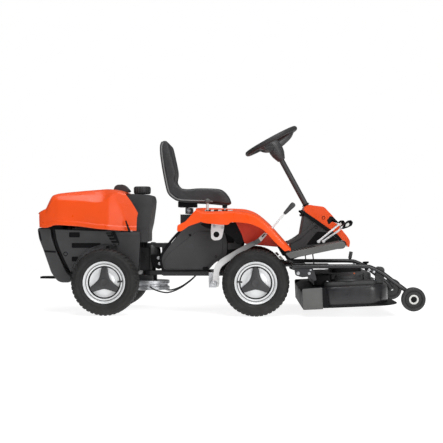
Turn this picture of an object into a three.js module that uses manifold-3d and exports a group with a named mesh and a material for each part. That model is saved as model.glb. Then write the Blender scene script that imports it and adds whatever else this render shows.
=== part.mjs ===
// Articulated ride-on lawn mower with a rear engine and a front-mounted cutting deck.
// Millimetres, +X forward, +Y to the driver's left, +Z up, origin on the ground under the middle.

import * as THREE from 'three';
import { mergeVertices } from 'three/addons/utils/BufferGeometryUtils.js';
import Module from 'manifold-3d';

// ---- Driving dimensions -------------------------------------------------------------------

const GAP = 0.4; // clearance kept between pieces that rest on each other
const SHEET = 5; // wall of moulded covers
const RIGHT = -1;
const LEFT = 1;

const WHEEL_RADIUS = 190;
const WHEEL_WIDTH = 155;
const RIM_RADIUS = 119.4;
const TYRE_BORE = 120;
const WHEEL_SIDES = 24; // one number for tyre and rim, so that they nest
const AXLE_RADIUS = 20;
const HUB_BORE = 22;
const AXLE_REACH = 18; // how far an axle end goes past the wheel's mid-plane
const FRONT_AXLE_X = 170;
const FRONT_TRACK_HALF = 357.5;
const REAR_AXLE_X = -685;
const REAR_TRACK_HALF = 312.5;

const PIVOT_X = -456; // vertical axis on which the machine bends
const FRAME_BOTTOM = 216;
const FRAME_TOP = 241;
const FRAME_HALF = 150;
const UPPER_ARM_BOTTOM = 380;
const UPPER_ARM_TOP = 405;
const PIVOT_PIN_RADIUS = 14;
const PIVOT_TUBE_RADIUS = 30;
const DRUM_RADIUS = 113;
const DRUM_BOTTOM = 128;
const DRUM_TOP = 183;

const FUEL_CAP_X = -508;

const FENDER_HALF = 430;
const ARCH_WALL_Y = 270;
const LEVER_Y = -340;
const SEAT_HALF = 230;

const COLUMN_FOOT = [476, 630];
const COLUMN_LEAN = THREE.MathUtils.degToRad(28.5); // how far the column leans back
const COLUMN_RADIUS = 14.5;
const WHEEL_HUB_START = 322; // along the column from its foot
const STEERING_RING_HEIGHT = 439;
const STEERING_RING_RADIUS = 160;
const STEERING_GRIP_RADIUS = 16;

const LIFT_AXIS = [330, 282];
const FRAME_TUBE_RADIUS = 12.5;
const FRAME_TUBE_Y = 395;
const INNER_ARM_Y = 150;
const SUPPORT_WHEEL = { x: 1048, y: 425, z: 100, radius: 67, width: 50 };

const DECK_HALF = 450;
const DECK_REAR = 546;
const DECK_FRONT = 922;
const DECK_TILT = THREE.MathUtils.degToRad(2.5);
const DECK_CENTRE = [732, 120];
const BLADE_RADIUS = 144;
const BLADE_SPACING = 285;

// ---- Colours --------------------------------------------------------------------------------

const paint = (color, roughness, metalness) =>
  new THREE.MeshStandardMaterial({ color, roughness, metalness });
const ORANGE = paint(0xee5a14, 0.35, 0.0);
const DARK_PLASTIC = paint(0x3c3c3d, 0.6, 0.0);
const GREY_PLASTIC = paint(0x626260, 0.6, 0.0);
const BLACK_STEEL = paint(0x1d1d1f, 0.45, 0.4);
const BARE_STEEL = paint(0xb9bcc0, 0.35, 0.9);
const RIM_PAINT = paint(0xc9cbcd, 0.35, 0.5);
const RUBBER = paint(0x1b1b1c, 0.85, 0.0);
const VINYL = paint(0x202022, 0.55, 0.0);
const CAST = paint(0x7e8083, 0.6, 0.6);

// ---- Solids ---------------------------------------------------------------------------------

const wasm = await Module();
wasm.setup();

/** A closed geometry as a solid that can be joined and cut. */
function toSolid(geometry) {
  const bare = geometry.clone();
  bare.deleteAttribute('normal');
  bare.deleteAttribute('uv');
  const merged = mergeVertices(bare, 1e-3);
  const corners = Array.from(merged.index.array);
  const kept = [];
  for (let i = 0; i < corners.length; i += 3) {
    const [a, b, c] = corners.slice(i, i + 3);
    if (a !== b && b !== c && c !== a) kept.push(a, b, c);
  }
  const vertProperties = new Float32Array(merged.attributes.position.array);
  const triVerts = new Uint32Array(kept);
  return new wasm.Manifold(new wasm.Mesh({ numProp: 3, vertProperties, triVerts }));
}

function fromSolid(solid) {
  const mesh = solid.getMesh();
  const geometry = new THREE.BufferGeometry();
  geometry.setAttribute('position', new THREE.BufferAttribute(new Float32Array(mesh.vertProperties), 3));
  geometry.setIndex(new THREE.BufferAttribute(new Uint32Array(mesh.triVerts), 1));
  geometry.computeVertexNormals();
  return geometry;
}

function join(...geometries) {
  return fromSolid(geometries.map(toSolid).reduce((whole, piece) => whole.add(piece)));
}

function cut(base, ...cutters) {
  const take = (whole, cutter) => whole.subtract(cutter);
  return fromSolid(cutters.map(toSolid).reduce(take, toSolid(base)));
}

/** A closed mesh from corner points and faces, turned so that its faces point out. */
function closedMesh(points, faces) {
  const at = (i) => new THREE.Vector3(...points[i]);
  const volume = faces.reduce((sum, [a, b, c]) => sum + at(a).dot(at(b).cross(at(c))), 0);
  const outward = volume > 0 ? faces : faces.map(([a, b, c]) => [a, c, b]);
  const geometry = new THREE.BufferGeometry();
  geometry.setAttribute('position', new THREE.Float32BufferAttribute(points.flat(), 3));
  geometry.setIndex(outward.flat());
  return geometry;
}

/** A solid through a row of convex closed loops that all have the same number of points. */
function loft(loops) {
  const count = loops[0].length;
  const faces = [];
  for (let row = 0; row + 1 < loops.length; row += 1) {
    for (let i = 0; i < count; i += 1) {
      const a = row * count + i;
      const b = row * count + ((i + 1) % count);
      faces.push([a, b, a + count], [b, b + count, a + count]);
    }
  }
  const last = (loops.length - 1) * count;
  for (let i = 1; i + 1 < count; i += 1) {
    faces.push([0, i + 1, i], [last, last + i, last + i + 1]);
  }
  return closedMesh(loops.flat(), faces);
}

/** A shell between an outer and an inner grid of points, closed along all four borders. */
function shell(outer, inner) {
  const rows = outer.length;
  const columns = outer[0].length;
  const inside = rows * columns;
  const faces = [];
  const quad = (a, b, c, d) => faces.push([a, b, c], [a, c, d]);
  for (let r = 0; r + 1 < rows; r += 1) {
    for (let c = 0; c + 1 < columns; c += 1) {
      const a = r * columns + c;
      quad(a, a + 1, a + columns + 1, a + columns);
      quad(inside + a, inside + a + columns, inside + a + columns + 1, inside + a + 1);
    }
  }
  for (let r = 0; r + 1 < rows; r += 1) {
    const a = r * columns;
    const b = a + columns - 1;
    quad(a, a + columns, inside + a + columns, inside + a);
    quad(b + columns, b, inside + b, inside + b + columns);
  }
  for (let c = 0; c + 1 < columns; c += 1) {
    const b = (rows - 1) * columns + c;
    quad(c + 1, c, inside + c, inside + c + 1);
    quad(b, b + 1, inside + b + 1, inside + b);
  }
  return closedMesh([...outer.flat(), ...inner.flat()], faces);
}

/** A closed outline whose corners are rounded by up to the given radius. */
function outline(points, radius = 0) {
  const shape = new THREE.Shape();
  points.forEach((point, i) => {
    const corner = new THREE.Vector2(...point);
    const before = new THREE.Vector2(...points.at(i - 1)).sub(corner);
    const after = new THREE.Vector2(...points[(i + 1) % points.length]).sub(corner);
    const reach = Math.min(radius, before.length() * 0.45, after.length() * 0.45);
    const enter = before.setLength(reach).add(corner);
    const leave = after.setLength(reach).add(corner);
    if (i === 0) shape.moveTo(enter.x, enter.y);
    else shape.lineTo(enter.x, enter.y);
    if (reach > 0) shape.quadraticCurveTo(corner.x, corner.y, leave.x, leave.y);
  });
  return shape;
}

/** A side outline in x and z, made solid from yLow to yHigh. */
function sidePlate(points, yLow, yHigh, radius = 0, bevel = 0) {
  const geometry = new THREE.ExtrudeGeometry(outline(points, radius), {
    depth: yHigh - yLow - 2 * bevel,
    curveSegments: 2,
    bevelEnabled: bevel > 0,
    bevelThickness: bevel,
    bevelSize: bevel,
    bevelOffset: -bevel,
    bevelSegments: 2,
  });
  return geometry.rotateX(Math.PI / 2).translate(0, yHigh - bevel, 0);
}

/** A plan outline in x and y, made solid from zLow to zHigh. */
function planPlate(points, zLow, zHigh, radius = 0) {
  const settings = { depth: zHigh - zLow, curveSegments: 4, bevelEnabled: false };
  return new THREE.ExtrudeGeometry(outline(points, radius), settings).translate(0, 0, zLow);
}

function block([x0, x1], [y0, y1], [z0, z1]) {
  const geometry = new THREE.BoxGeometry(x1 - x0, y1 - y0, z1 - z0);
  return geometry.translate((x0 + x1) / 2, (y0 + y1) / 2, (z0 + z1) / 2);
}

/** A round bar from one point to another. */
function bar(from, to, radius, sides = 12) {
  const start = new THREE.Vector3(...from);
  const along = new THREE.Vector3(...to).sub(start);
  const geometry = new THREE.CylinderGeometry(radius, radius, along.length(), sides);
  const upright = new THREE.Vector3(0, 1, 0);
  const turn = new THREE.Quaternion().setFromUnitVectors(upright, along.clone().normalize());
  const middle = start.addScaledVector(along, 0.5);
  return geometry.applyQuaternion(turn).translate(middle.x, middle.y, middle.z);
}

/** A tube of straight stretches with rounded bends at the inner points. */
function bentTube(points, radius, bend, steps = 24, sides = 8) {
  const path = new THREE.CurvePath();
  const corners = points.map((point) => new THREE.Vector3(...point));
  let from = corners[0];
  for (let i = 1; i + 1 < corners.length; i += 1) {
    const toward = corners[i].clone().sub(from).setLength(bend);
    const away = corners[i + 1].clone().sub(corners[i]).setLength(bend);
    const enter = corners[i].clone().sub(toward);
    const leave = corners[i].clone().add(away);
    path.add(new THREE.LineCurve3(from, enter));
    path.add(new THREE.QuadraticBezierCurve3(enter, corners[i], leave));
    from = leave;
  }
  path.add(new THREE.LineCurve3(from, corners.at(-1)));
  return sweep(path, radius, steps, sides);
}

function sweep(path, radius, steps, sides) {
  const section = new THREE.Shape();
  for (let i = 0; i < sides; i += 1) {
    const angle = (2 * Math.PI * i) / sides;
    const spot = [radius * Math.cos(angle), radius * Math.sin(angle)];
    if (i === 0) section.moveTo(...spot);
    else section.lineTo(...spot);
  }
  return new THREE.ExtrudeGeometry(section, { steps, extrudePath: path, bevelEnabled: false });
}

/** A turned solid about the y axis; its profile of [radius, y] closes on itself. */
function turned(profile, segments) {
  const points = [...profile, profile[0]].map(([r, y]) => new THREE.Vector2(r, y));
  return fromSolid(toSolid(outwardLathe(points, segments)));
}

function outwardLathe(points, segments) {
  const area = points.slice(1).reduce((sum, p, i) => sum + points[i].cross(p), 0);
  const ordered = area > 0 ? points : [...points].reverse();
  return new THREE.LatheGeometry(ordered, segments);
}

// ---- Naming and placing ---------------------------------------------------------------------

const mower = new THREE.Group();

function add(name, geometry, material) {
  const mesh = new THREE.Mesh(geometry, material);
  mesh.name = name;
  mower.add(mesh);
  return mesh;
}

const sideName = (side) => (side === RIGHT ? 'right' : 'left');
const spanY = (side, inner, outer) => [side * inner, side * outer].sort((a, b) => a - b);

// ---- Wheels ---------------------------------------------------------------------------------

const TYRE_PROFILE = [
  [TYRE_BORE, -62], [156, -77.5], [182, -70], [WHEEL_RADIUS, -44],
  [WHEEL_RADIUS, 44], [182, 70], [156, 77.5], [TYRE_BORE, 62],
];
// The rim's outer face looks along -y, so a left wheel is turned half a turn about z.
const RIM_PROFILE = [
  [HUB_BORE, -46], [48, -46], [60, -35], [84, -35], [94, -50],
  [RIM_RADIUS, -66], [RIM_RADIUS, 66], [112, 66], [108, -24], [HUB_BORE, 22],
];

function hubCap() {
  const steps = 24;
  const rim = Array.from({ length: steps }, (_, i) => {
    const angle = (2 * Math.PI * i) / steps;
    const reach = 56 + 22 * Math.cos(3 * (angle - Math.PI / 2));
    return [reach * Math.cos(angle), reach * Math.sin(angle)];
  });
  return sidePlate(rim, -56, -46 - GAP);
}

function addWheel(place, x, side, track) {
  const turn = side === LEFT ? Math.PI : 0;
  const pieces = [
    ['tyre', turned(TYRE_PROFILE, WHEEL_SIDES), RUBBER],
    ['rim', turned(RIM_PROFILE, WHEEL_SIDES), RIM_PAINT],
    ['hub_cap', hubCap(), BLACK_STEEL],
  ];
  for (const [kind, geometry, material] of pieces) {
    const mesh = add(`${place}_${kind}_${sideName(side)}`, geometry, material);
    mesh.rotation.z = turn;
    mesh.position.set(x, side * track, WHEEL_RADIUS);
  }
}

function addWheels() {
  for (const side of [RIGHT, LEFT]) {
    addWheel('front', FRONT_AXLE_X, side, FRONT_TRACK_HALF);
    addWheel('rear', REAR_AXLE_X, side, REAR_TRACK_HALF);
  }
}

// ---- Front frame ----------------------------------------------------------------------------

function addMainFrame() {
  const arm = (low, high) => join(
    block([PIVOT_X, -345], [-45, 45], [low, high]),
    bar([PIVOT_X, 0, low], [PIVOT_X, 0, high], 45, 24),
  );
  const ear = (side) => block([300, 350], spanY(side, 122, 134), [FRAME_BOTTOM, 302]);
  const frame = join(
    block([-370, 330], [-FRAME_HALF, FRAME_HALF], [FRAME_BOTTOM, FRAME_TOP]),
    arm(FRAME_BOTTOM, FRAME_TOP),
    arm(UPPER_ARM_BOTTOM, UPPER_ARM_TOP),
    block([-382, -340], [-95, 95], [FRAME_BOTTOM, UPPER_ARM_TOP]),
    bar([PIVOT_X, 0, FRAME_BOTTOM], [PIVOT_X, 0, UPPER_ARM_TOP], PIVOT_PIN_RADIUS),
    block([-273, -223], [-95, 95], [FRAME_BOTTOM, 576 - GAP]),
    block([-273, -196], [-95, 95], [564, 576 - GAP]),
    block([40, 90], [-100, 100], [FRAME_BOTTOM, 588]),
    ear(RIGHT),
    ear(LEFT),
  );
  const pinHole = bar([LIFT_AXIS[0], -160, LIFT_AXIS[1]], [LIFT_AXIS[0], 160, LIFT_AXIS[1]], 9.5);
  add('main_frame', cut(frame, pinHole), BLACK_STEEL);
}

/** A round bar across the machine at wheel-centre height. */
function axleBar(x, yFrom, yTo, radius, sides = 16) {
  return bar([x, yFrom, WHEEL_RADIUS], [x, yTo, WHEEL_RADIUS], radius, sides);
}

function addFrontAxle() {
  const end = FRONT_TRACK_HALF + AXLE_REACH;
  const hanger = (side) => block([145, 195], spanY(side, 60, 105), [190, FRAME_BOTTOM - GAP]);
  const beam = axleBar(FRONT_AXLE_X, -end, end, AXLE_RADIUS);
  const hub = (side) => axleBar(FRONT_AXLE_X, side * 110, side * 270, 24);
  add('front_axle', join(beam, hanger(RIGHT), hanger(LEFT), hub(RIGHT), hub(LEFT)), CAST);
}

function addSidePanels() {
  const profile = [
    [-264, 477], [-377, 336], [-380, 301], [-366, 251], [-108, 246],
    [-66, 294], [4, 336], [7, 415], [-19, 522], [-120, 540], [-205, 530],
  ];
  for (const side of [RIGHT, LEFT]) {
    add(`side_panel_${sideName(side)}`, sidePlate(profile, ...spanY(side, 184, 190), 20), DARK_PLASTIC);
  }
}

// Each station of the fender: [edge x, edge z, lip x, lip z, crown z].
const FENDER_STATIONS = [
  [-165, 600, -150, 545, 612],
  [-109, 584, -118, 527, 613],
  [16, 586, 2, 516, 609],
  [60, 586, 34, 530, 608],
  [118, 579, 98, 527, 603],
  [178, 560, 150, 517, 580],
  [247, 504, 212, 487, 524],
  [317, 427, 275, 421, 448],
  [366, 376, 331, 368, 391],
];

function fenderShell() {
  const rowAt = ([edgeX, edgeZ, lipX, lipZ, crown], inset) => {
    const half = FENDER_HALF - inset;
    const shoulder = edgeZ + 8 - inset;
    const side = [
      [lipX, half, lipZ], [edgeX, half, edgeZ - inset], [edgeX, half - 26, shoulder],
      [edgeX, 298, shoulder + 2], [edgeX, 250, crown - inset],
    ];
    const mirrored = [...side].reverse().map(([x, y, z]) => [x, -y, z]);
    return [...side, ...mirrored];
  };
  return shell(
    FENDER_STATIONS.map((station) => rowAt(station, 0)),
    FENDER_STATIONS.map((station) => rowAt(station, SHEET)),
  );
}

function addFender() {
  const archWall = [
    [30, 601], [60, 600], [150, 584], [210, 546], [255, 510], [310, 449], [342, 412],
    [294, 387], [107, 405], [89, 464], [56, 530],
  ];
  const rearStrip = [
    [-150, 596], [-168, 600], [-224, 533], [-268, 513],
    [-270, 479], [-248, 479], [-205, 508], [-128, 538],
  ];
  const bothSides = (profile, inner, outer) =>
    [RIGHT, LEFT].map((side) => sidePlate(profile, ...spanY(side, inner, outer)));
  const leverSlot = block([70, 300], [LEVER_Y - 18, LEVER_Y + 18], [425, 640]);
  const body = join(
    fenderShell(),
    ...bothSides(archWall, ARCH_WALL_Y - 4, ARCH_WALL_Y + 2),
    ...bothSides(rearStrip, FENDER_HALF - SHEET, FENDER_HALF),
  );
  add('fender', cut(body, leverSlot), ORANGE);
}

function addFootplates() {
  const outer = [[333, 357], [659, 423], [672, 408], [669, 389], [403, 335], [363, 326]];
  const hollow = [[348, 352], [655, 414], [661, 380], [404, 322], [366, 316]];
  for (const side of [RIGHT, LEFT]) {
    const plate = sidePlate(outer, ...spanY(side, 150, FENDER_HALF), 10);
    const pocket = sidePlate(hollow, ...spanY(side, 156, FENDER_HALF - 6));
    add(`footplate_${sideName(side)}`, cut(plate, pocket), GREY_PLASTIC);
  }
}

const COLUMN_AXIS = new THREE.Vector3(-Math.sin(COLUMN_LEAN), 0, Math.cos(COLUMN_LEAN));

function columnPoint(along) {
  const foot = new THREE.Vector3(COLUMN_FOOT[0], 0, COLUMN_FOOT[1]);
  return foot.addScaledVector(COLUMN_AXIS, along).toArray();
}

function columnClearance() {
  return bar(columnPoint(-45), columnPoint(40), COLUMN_RADIUS + 1.5, 16);
}

function addConsole() {
  const profile = [
    [376, 350], [376, 424], [412, 434], [435, 453], [454, 563], [455, 590], [502, 550],
    [598, 483], [649, 451], [678, 419], [698, 412], [704, 386], [690, 374],
  ];
  add('console', cut(sidePlate(profile, -110, 110, 8), columnClearance()), DARK_PLASTIC);
}

function addFrontCover() {
  const profile = [
    [457, 618], [486, 634], [515, 628], [575, 621], [620, 573], [658, 528], [665, 503], [713, 445],
    [729, 417], [723, 381], [710, 388], [703, 417], [681, 424], [652, 456],
    [601, 488], [505, 556], [458, 596],
  ];
  add('front_cover', cut(sidePlate(profile, -118, 118, 12), columnClearance()), ORANGE);
}

function addSteering() {
  const column = bar(columnPoint(-32), columnPoint(WHEEL_HUB_START - GAP), COLUMN_RADIUS, 16);
  add('steering_column', column, BLACK_STEEL);

  const hubProfile = [[0, 0], [22, 0], [44, 18], [50, 46], [46, 78], [30, 92], [0, 94]];
  const hub = new THREE.LatheGeometry(hubProfile.map(([r, y]) => new THREE.Vector2(r, y)), 12);
  const rise = STEERING_RING_HEIGHT - WHEEL_HUB_START;
  const ring = new THREE.TorusGeometry(STEERING_RING_RADIUS, STEERING_GRIP_RADIUS, 8, 28);
  ring.rotateX(Math.PI / 2).translate(0, rise, 0);
  const spokes = [0, 1, 2].map((i) => {
    const angle = Math.PI / 2 + (2 * Math.PI * i) / 3;
    const spot = (r, y) => [r * Math.cos(angle), y, r * Math.sin(angle)];
    return bentTube([spot(30, 74), spot(110, 84), spot(STEERING_RING_RADIUS, rise)], 9, 20, 4, 6);
  });
  const wheel = join(hub, ring, ...spokes);
  const mesh = add('steering_wheel', wheel, RUBBER);
  mesh.quaternion.setFromUnitVectors(new THREE.Vector3(0, 1, 0), COLUMN_AXIS);
  mesh.position.set(...columnPoint(WHEEL_HUB_START));
}

// ---- Seat -----------------------------------------------------------------------------------

function addSeat() {
  const shellProfile = [
    [32, 620], [-109, 643], [-287, 654], [-343, 690],
    [-358, 732], [-390, 895], [-393, 980], [-372, 1012],
    [-362, 1005], [-382, 975], [-380, 897], [-348, 735],
    [-335, 697], [-283, 665], [-109, 655], [30, 631],
  ];
  const cushionProfile = [
    [-346, 734], [-334, 699], [-282, 667], [-109, 656.5], [31, 632.5], [29, 675],
    [3, 711], [-32, 728], [-181, 732], [-245, 725], [-281, 733],
  ];
  const backrestProfile = [
    [-360, 1019], [-336, 1015], [-319, 945], [-290, 845], [-287, 788], [-290, 760], [-281, 736],
    [-346, 736.5], [-378.5, 898], [-380.5, 975], [-361, 1004],
  ];
  const bracketProfile = [[-287, 618 + GAP], [-181, 618 + GAP], [-181, 646], [-287, 652.5]];
  add('seat_shell', sidePlate(shellProfile, -222, 222), DARK_PLASTIC);
  add('seat_cushion', sidePlate(cushionProfile, -SEAT_HALF, SEAT_HALF, 10), VINYL);
  add('seat_backrest', sidePlate(backrestProfile, -SEAT_HALF + 10, SEAT_HALF - 10, 8), VINYL);
  add('seat_bracket', sidePlate(bracketProfile, -95, 95), BLACK_STEEL);
  for (const side of [RIGHT, LEFT]) {
    const spring = bar([-225, side * 60, 576], [-225, side * 60, 618], 22, 16);
    add(`seat_spring_${sideName(side)}`, spring, BARE_STEEL);
  }
}

// ---- Controls -------------------------------------------------------------------------------

const LIFT_LEVER_PIVOT = [-69, 182];
const LIFT_LEVER_GRIP_START = [332, 577];
const LIFT_LEVER_GRIP_END = [390, 638];
const leverPoint = ([x, z]) => [x, LEVER_Y, z];

function addLiftLever() {
  const [x, z] = LIFT_LEVER_PIVOT;
  const boss = bar([x, LEVER_Y - 12, z], [x, LEVER_Y + 12, z], 22, 16);
  const route = [[-66, 192], [-48, 245], [-20, 300], [97, 396], [162, 421], [230, 461]];
  const tube = bentTube(route.map(leverPoint), 11, 14, 16);
  const rod = bentTube([[222, 456], [267, 501], [329, 574]].map(leverPoint), 5.5, 12, 5, 6);
  const eye = bar([x, LEVER_Y - 20, z], [x, LEVER_Y + 20, z], 9.5, 16);
  add('lift_lever', cut(join(boss, tube, rod), eye), CAST);
  const grip = bar(leverPoint(LIFT_LEVER_GRIP_START), leverPoint(LIFT_LEVER_GRIP_END), 14, 12);
  add('lift_lever_grip', grip, RUBBER);

  const pinEnd = LEVER_Y - 20;
  const bracket = join(
    block([-97, -53], [-322, -315], [158, 245]),
    block([-90, -60], [-318, -100], [192, FRAME_BOTTOM - GAP]),
    bar([x, -320, z], [x, pinEnd, z], 8),
  );
  add('lift_bracket', bracket, BARE_STEEL);
}

function addHandControls() {
  const heightPivot = [-103, LEVER_Y, 618];
  const heightLever = join(
    bar([heightPivot[0], LEVER_Y - 9, heightPivot[2]], [heightPivot[0], LEVER_Y + 9, heightPivot[2]], 9),
    bar(heightPivot, [-103, LEVER_Y, 645], 6),
    bar([-103, LEVER_Y, 640], [-103, LEVER_Y, 664], 12, 12),
  );
  add('height_lever', heightLever, GREY_PLASTIC);

  const throttle = join(
    bar([-5, LEVER_Y - 8, 604], [-5, LEVER_Y + 8, 604], 8),
    bar([-5, LEVER_Y, 604], [-5, LEVER_Y, 622], 5),
    bar([-5, LEVER_Y, 618], [-5, LEVER_Y, 632], 14, 12),
  );
  add('throttle_lever', throttle, RUBBER);
}

const PEDAL_PIVOT_Z = 420;
const FORWARD_PIVOT_X = 562;
const REVERSE_PIVOT_X = 530;

/** A pedal on a bent arm; its pad is a plate between two points of the side outline. */
function pedal(pivotX, y, bend, padFrom, padTo, halfWidth) {
  const pad = new THREE.Vector2(padTo[0] - padFrom[0], padTo[1] - padFrom[1]);
  const normal = new THREE.Vector2(-pad.y, pad.x).setLength(4);
  const plate = [
    [padFrom[0] - normal.x, padFrom[1] - normal.y], [padTo[0] - normal.x, padTo[1] - normal.y],
    [padTo[0] + normal.x, padTo[1] + normal.y], [padFrom[0] + normal.x, padFrom[1] + normal.y],
  ];
  return join(
    bar([pivotX, y - 12, PEDAL_PIVOT_Z], [pivotX, y + 12, PEDAL_PIVOT_Z], 9),
    bar([pivotX, y, PEDAL_PIVOT_Z], [bend[0], y, bend[1]], 6, 8),
    bar([bend[0], y, bend[1]], [padFrom[0], y, padFrom[1]], 6, 8),
    sidePlate(plate, y - halfWidth, y + halfWidth),
  );
}

function addPedals() {
  const footPad = [[661, 497], [726, 538]];
  add('forward_pedal', pedal(FORWARD_PIVOT_X, -232, [656, 486], ...footPad, 26), RUBBER);
  add('brake_pedal', pedal(FORWARD_PIVOT_X, 240, [656, 486], ...footPad, 34), RUBBER);
  add('reverse_pedal', pedal(REVERSE_PIVOT_X, -290, [644, 516], [640, 524], [602, 543], 22), RUBBER);
}

// ---- Cutting deck and its lift frame -----------------------------------------------------------

function addLiftFrame() {
  const { x, z } = SUPPORT_WHEEL;
  const [pivotX, tubeZ] = LIFT_AXIS;
  const sideRoute = [[380, tubeZ], [790, tubeZ], [885, 240], [x - 40, 150], [x, z]];
  const cross = bar([385, -FRAME_TUBE_Y, tubeZ], [385, FRAME_TUBE_Y, tubeZ], FRAME_TUBE_RADIUS);
  const sidePieces = [RIGHT, LEFT].flatMap((side) => {
    const y = side * FRAME_TUBE_Y;
    const armY = side * INNER_ARM_Y;
    return [
      bentTube(sideRoute.map(([px, pz]) => [px, y, pz]), FRAME_TUBE_RADIUS, 40, 18),
      bar([pivotX, armY, tubeZ], [385, armY, tubeZ], FRAME_TUBE_RADIUS),
      bar([pivotX, side * 160, tubeZ], [pivotX, side * 118, tubeZ], 9),
      bar([x, side * (FRAME_TUBE_Y - 8), z], [x, side * 452, z], 8),
      block([395, 500], spanY(side, FRAME_TUBE_Y - 3, FRAME_TUBE_Y + 3), [222, 276]),
    ];
  });
  add('lift_frame', join(cross, ...sidePieces), BLACK_STEEL);
  const wheelProfile = [
    [9, -16], [42, -13], [50, -22], [62, -24], [67, -14],
    [67, 14], [62, 24], [50, 22], [42, 13], [9, 16],
  ];
  for (const side of [RIGHT, LEFT]) {
    const wheel = add(`support_wheel_${sideName(side)}`, turned(wheelProfile, 16), RUBBER);
    wheel.position.set(x, side * (SUPPORT_WHEEL.y + 8), z);
  }
  const latch = join(
    bar([780, FRAME_TUBE_Y - 10, 304], [780, FRAME_TUBE_Y + 10, 304], 8),
    bar([780, FRAME_TUBE_Y, 304], [788, FRAME_TUBE_Y, 341], 8),
  );
  add('latch_handle', latch, RUBBER);
}

/** Leans a deck piece back by the deck's own tilt. */
function tilted(geometry) {
  const [x, z] = DECK_CENTRE;
  return geometry.translate(-x, 0, -z).rotateY(-DECK_TILT).translate(x, 0, z);
}

function deckPlan(rear, front, half) {
  const rightCorner = [[front, 90 - half], [front - 60, -half]];
  return [[rear, -half], [rear, half], [front - 60, half], [front, half - 90], ...rightCorner];
}

function addDeck() {
  const skirt = planPlate(deckPlan(DECK_REAR, DECK_FRONT, DECK_HALF), 72, 178, 40);
  const hollow = planPlate(deckPlan(DECK_REAR + 6, DECK_FRONT - 6, DECK_HALF - 6), 40, 172, 36);
  const lip = cut(
    planPlate(deckPlan(DECK_REAR, DECK_FRONT + 50, DECK_HALF + 8), 58, 77, 40),
    planPlate(deckPlan(DECK_REAR + 6, DECK_FRONT - 6, DECK_HALF - 6), 40, 172, 36),
  );
  add('deck_shell', tilted(join(cut(skirt, hollow), lip)), BLACK_STEEL);

  const low = block([560, 865], [-375, 375], [178 + GAP, 200]);
  const high = block([590, 840], [-300, 300], [195, 240]);
  const belt = block([620, 800], [-150, 150], [235, 264]);
  const post = bar([880, 330, 178 + GAP], [880, 330, 262], 8);
  const foot = block([850, 895], [315, 345], [178 + GAP, 192]);
  const knob = bar([880, 330, 258], [880, 330, 274], 20, 16);
  const bridge = block([800, 895], [300, 345], [178 + GAP, 192]);
  add('deck_cover', tilted(join(low, high, belt, bridge, foot, post, knob)), DARK_PLASTIC);

  const guardProfile = [
    [429, 60], [429, 150], [470, 172], [544, 174], [544, 166], [475, 164], [437, 144], [437, 60],
  ];
  const endPlate = [[429, 56], [429, 170], [436, 175], [544, 175], [544, 56]];
  const end = DECK_HALF - 10;
  const guard = join(
    sidePlate(guardProfile, -end, end),
    ...[RIGHT, LEFT].map((side) => sidePlate(endPlate, ...spanY(side, end - 5, end), 5)),
  );
  add('deck_guard', tilted(guard), GREY_PLASTIC);
}

const SPINDLES = [
  { name: 'right', x: 701, y: -BLADE_SPACING },
  { name: 'centre', x: 765, y: 0 },
  { name: 'left', x: 701, y: BLADE_SPACING },
];

function addBlades() {
  for (const { name, x, y } of SPINDLES) {
    const steel = block([x - 26, x + 26], [y - BLADE_RADIUS + 4, y + BLADE_RADIUS - 4], [86, 90]);
    const spindle = bar([x, y, 84], [x, y, 172 - GAP], 20, 16);
    add(`blade_${name}`, tilted(join(steel, spindle)), BARE_STEEL);
  }
}

// ---- Rear unit ------------------------------------------------------------------------------

function addRearFrame() {
  const frame = join(
    block([-885, -520], [-FRAME_HALF, FRAME_HALF], [FRAME_BOTTOM, FRAME_TOP]),
    block([-600, PIVOT_X], [-38, 38], [DRUM_TOP + GAP, FRAME_BOTTOM - GAP]),
    block([-600, -560], [-60, 60], [DRUM_TOP + GAP, FRAME_TOP]),
    bar([PIVOT_X, 0, DRUM_TOP + GAP], [PIVOT_X, 0, FRAME_BOTTOM - GAP], 38, 24),
    block([-600, -520], [-60, 60], [FRAME_TOP, UPPER_ARM_BOTTOM - GAP]),
    block([-540, PIVOT_X], [-28, 28], [FRAME_TOP + GAP, UPPER_ARM_BOTTOM - GAP]),
    bar([PIVOT_X, 0, FRAME_TOP + GAP], [PIVOT_X, 0, UPPER_ARM_BOTTOM - GAP], PIVOT_TUBE_RADIUS, 24),
  );
  const boreEnds = [FRAME_TOP - 2, UPPER_ARM_BOTTOM + 5].map((z) => [PIVOT_X, 0, z]);
  const bore = bar(...boreEnds, PIVOT_PIN_RADIUS + 1, 24);
  add('rear_frame', cut(frame, bore), BLACK_STEEL);

  const drum = turnedUpright([
    [0, DRUM_BOTTOM], [DRUM_RADIUS, DRUM_BOTTOM], [DRUM_RADIUS, 146], [104, 149],
    [104, 162], [DRUM_RADIUS, 165], [DRUM_RADIUS, DRUM_TOP], [0, DRUM_TOP],
  ], 24);
  add('steering_drum', drum.translate(PIVOT_X, 0, 0), BARE_STEEL);
}

/** A turned solid about a vertical axis; its profile of [radius, z] runs from axis to axis. */
function turnedUpright(profile, segments) {
  const points = profile.map(([r, z]) => new THREE.Vector2(r, z));
  return fromSolid(toSolid(new THREE.LatheGeometry(points, segments))).rotateX(Math.PI / 2);
}

function addTransaxle() {
  const end = REAR_TRACK_HALF + AXLE_REACH;
  const half = (side) => axleBar(REAR_AXLE_X, 0, side * 225, 25);
  const shaft = axleBar(REAR_AXLE_X, -end, end, AXLE_RADIUS);
  const box = block([-775, -610], [-105, 105], [120, FRAME_BOTTOM - GAP]);
  add('transaxle', join(box, half(RIGHT), half(LEFT), shaft), CAST);
}

function addEngine() {
  const crankcase = block([-905, -640], [-170, 170], [FRAME_TOP + GAP, 430]);
  const blower = bar([-785, 0, 420], [-785, 0, 560], 150, 24);
  const filter = block([-760, -600], [40, 190], [400, 560]);
  add('engine', join(crankcase, blower, filter), CAST);
}

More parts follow.
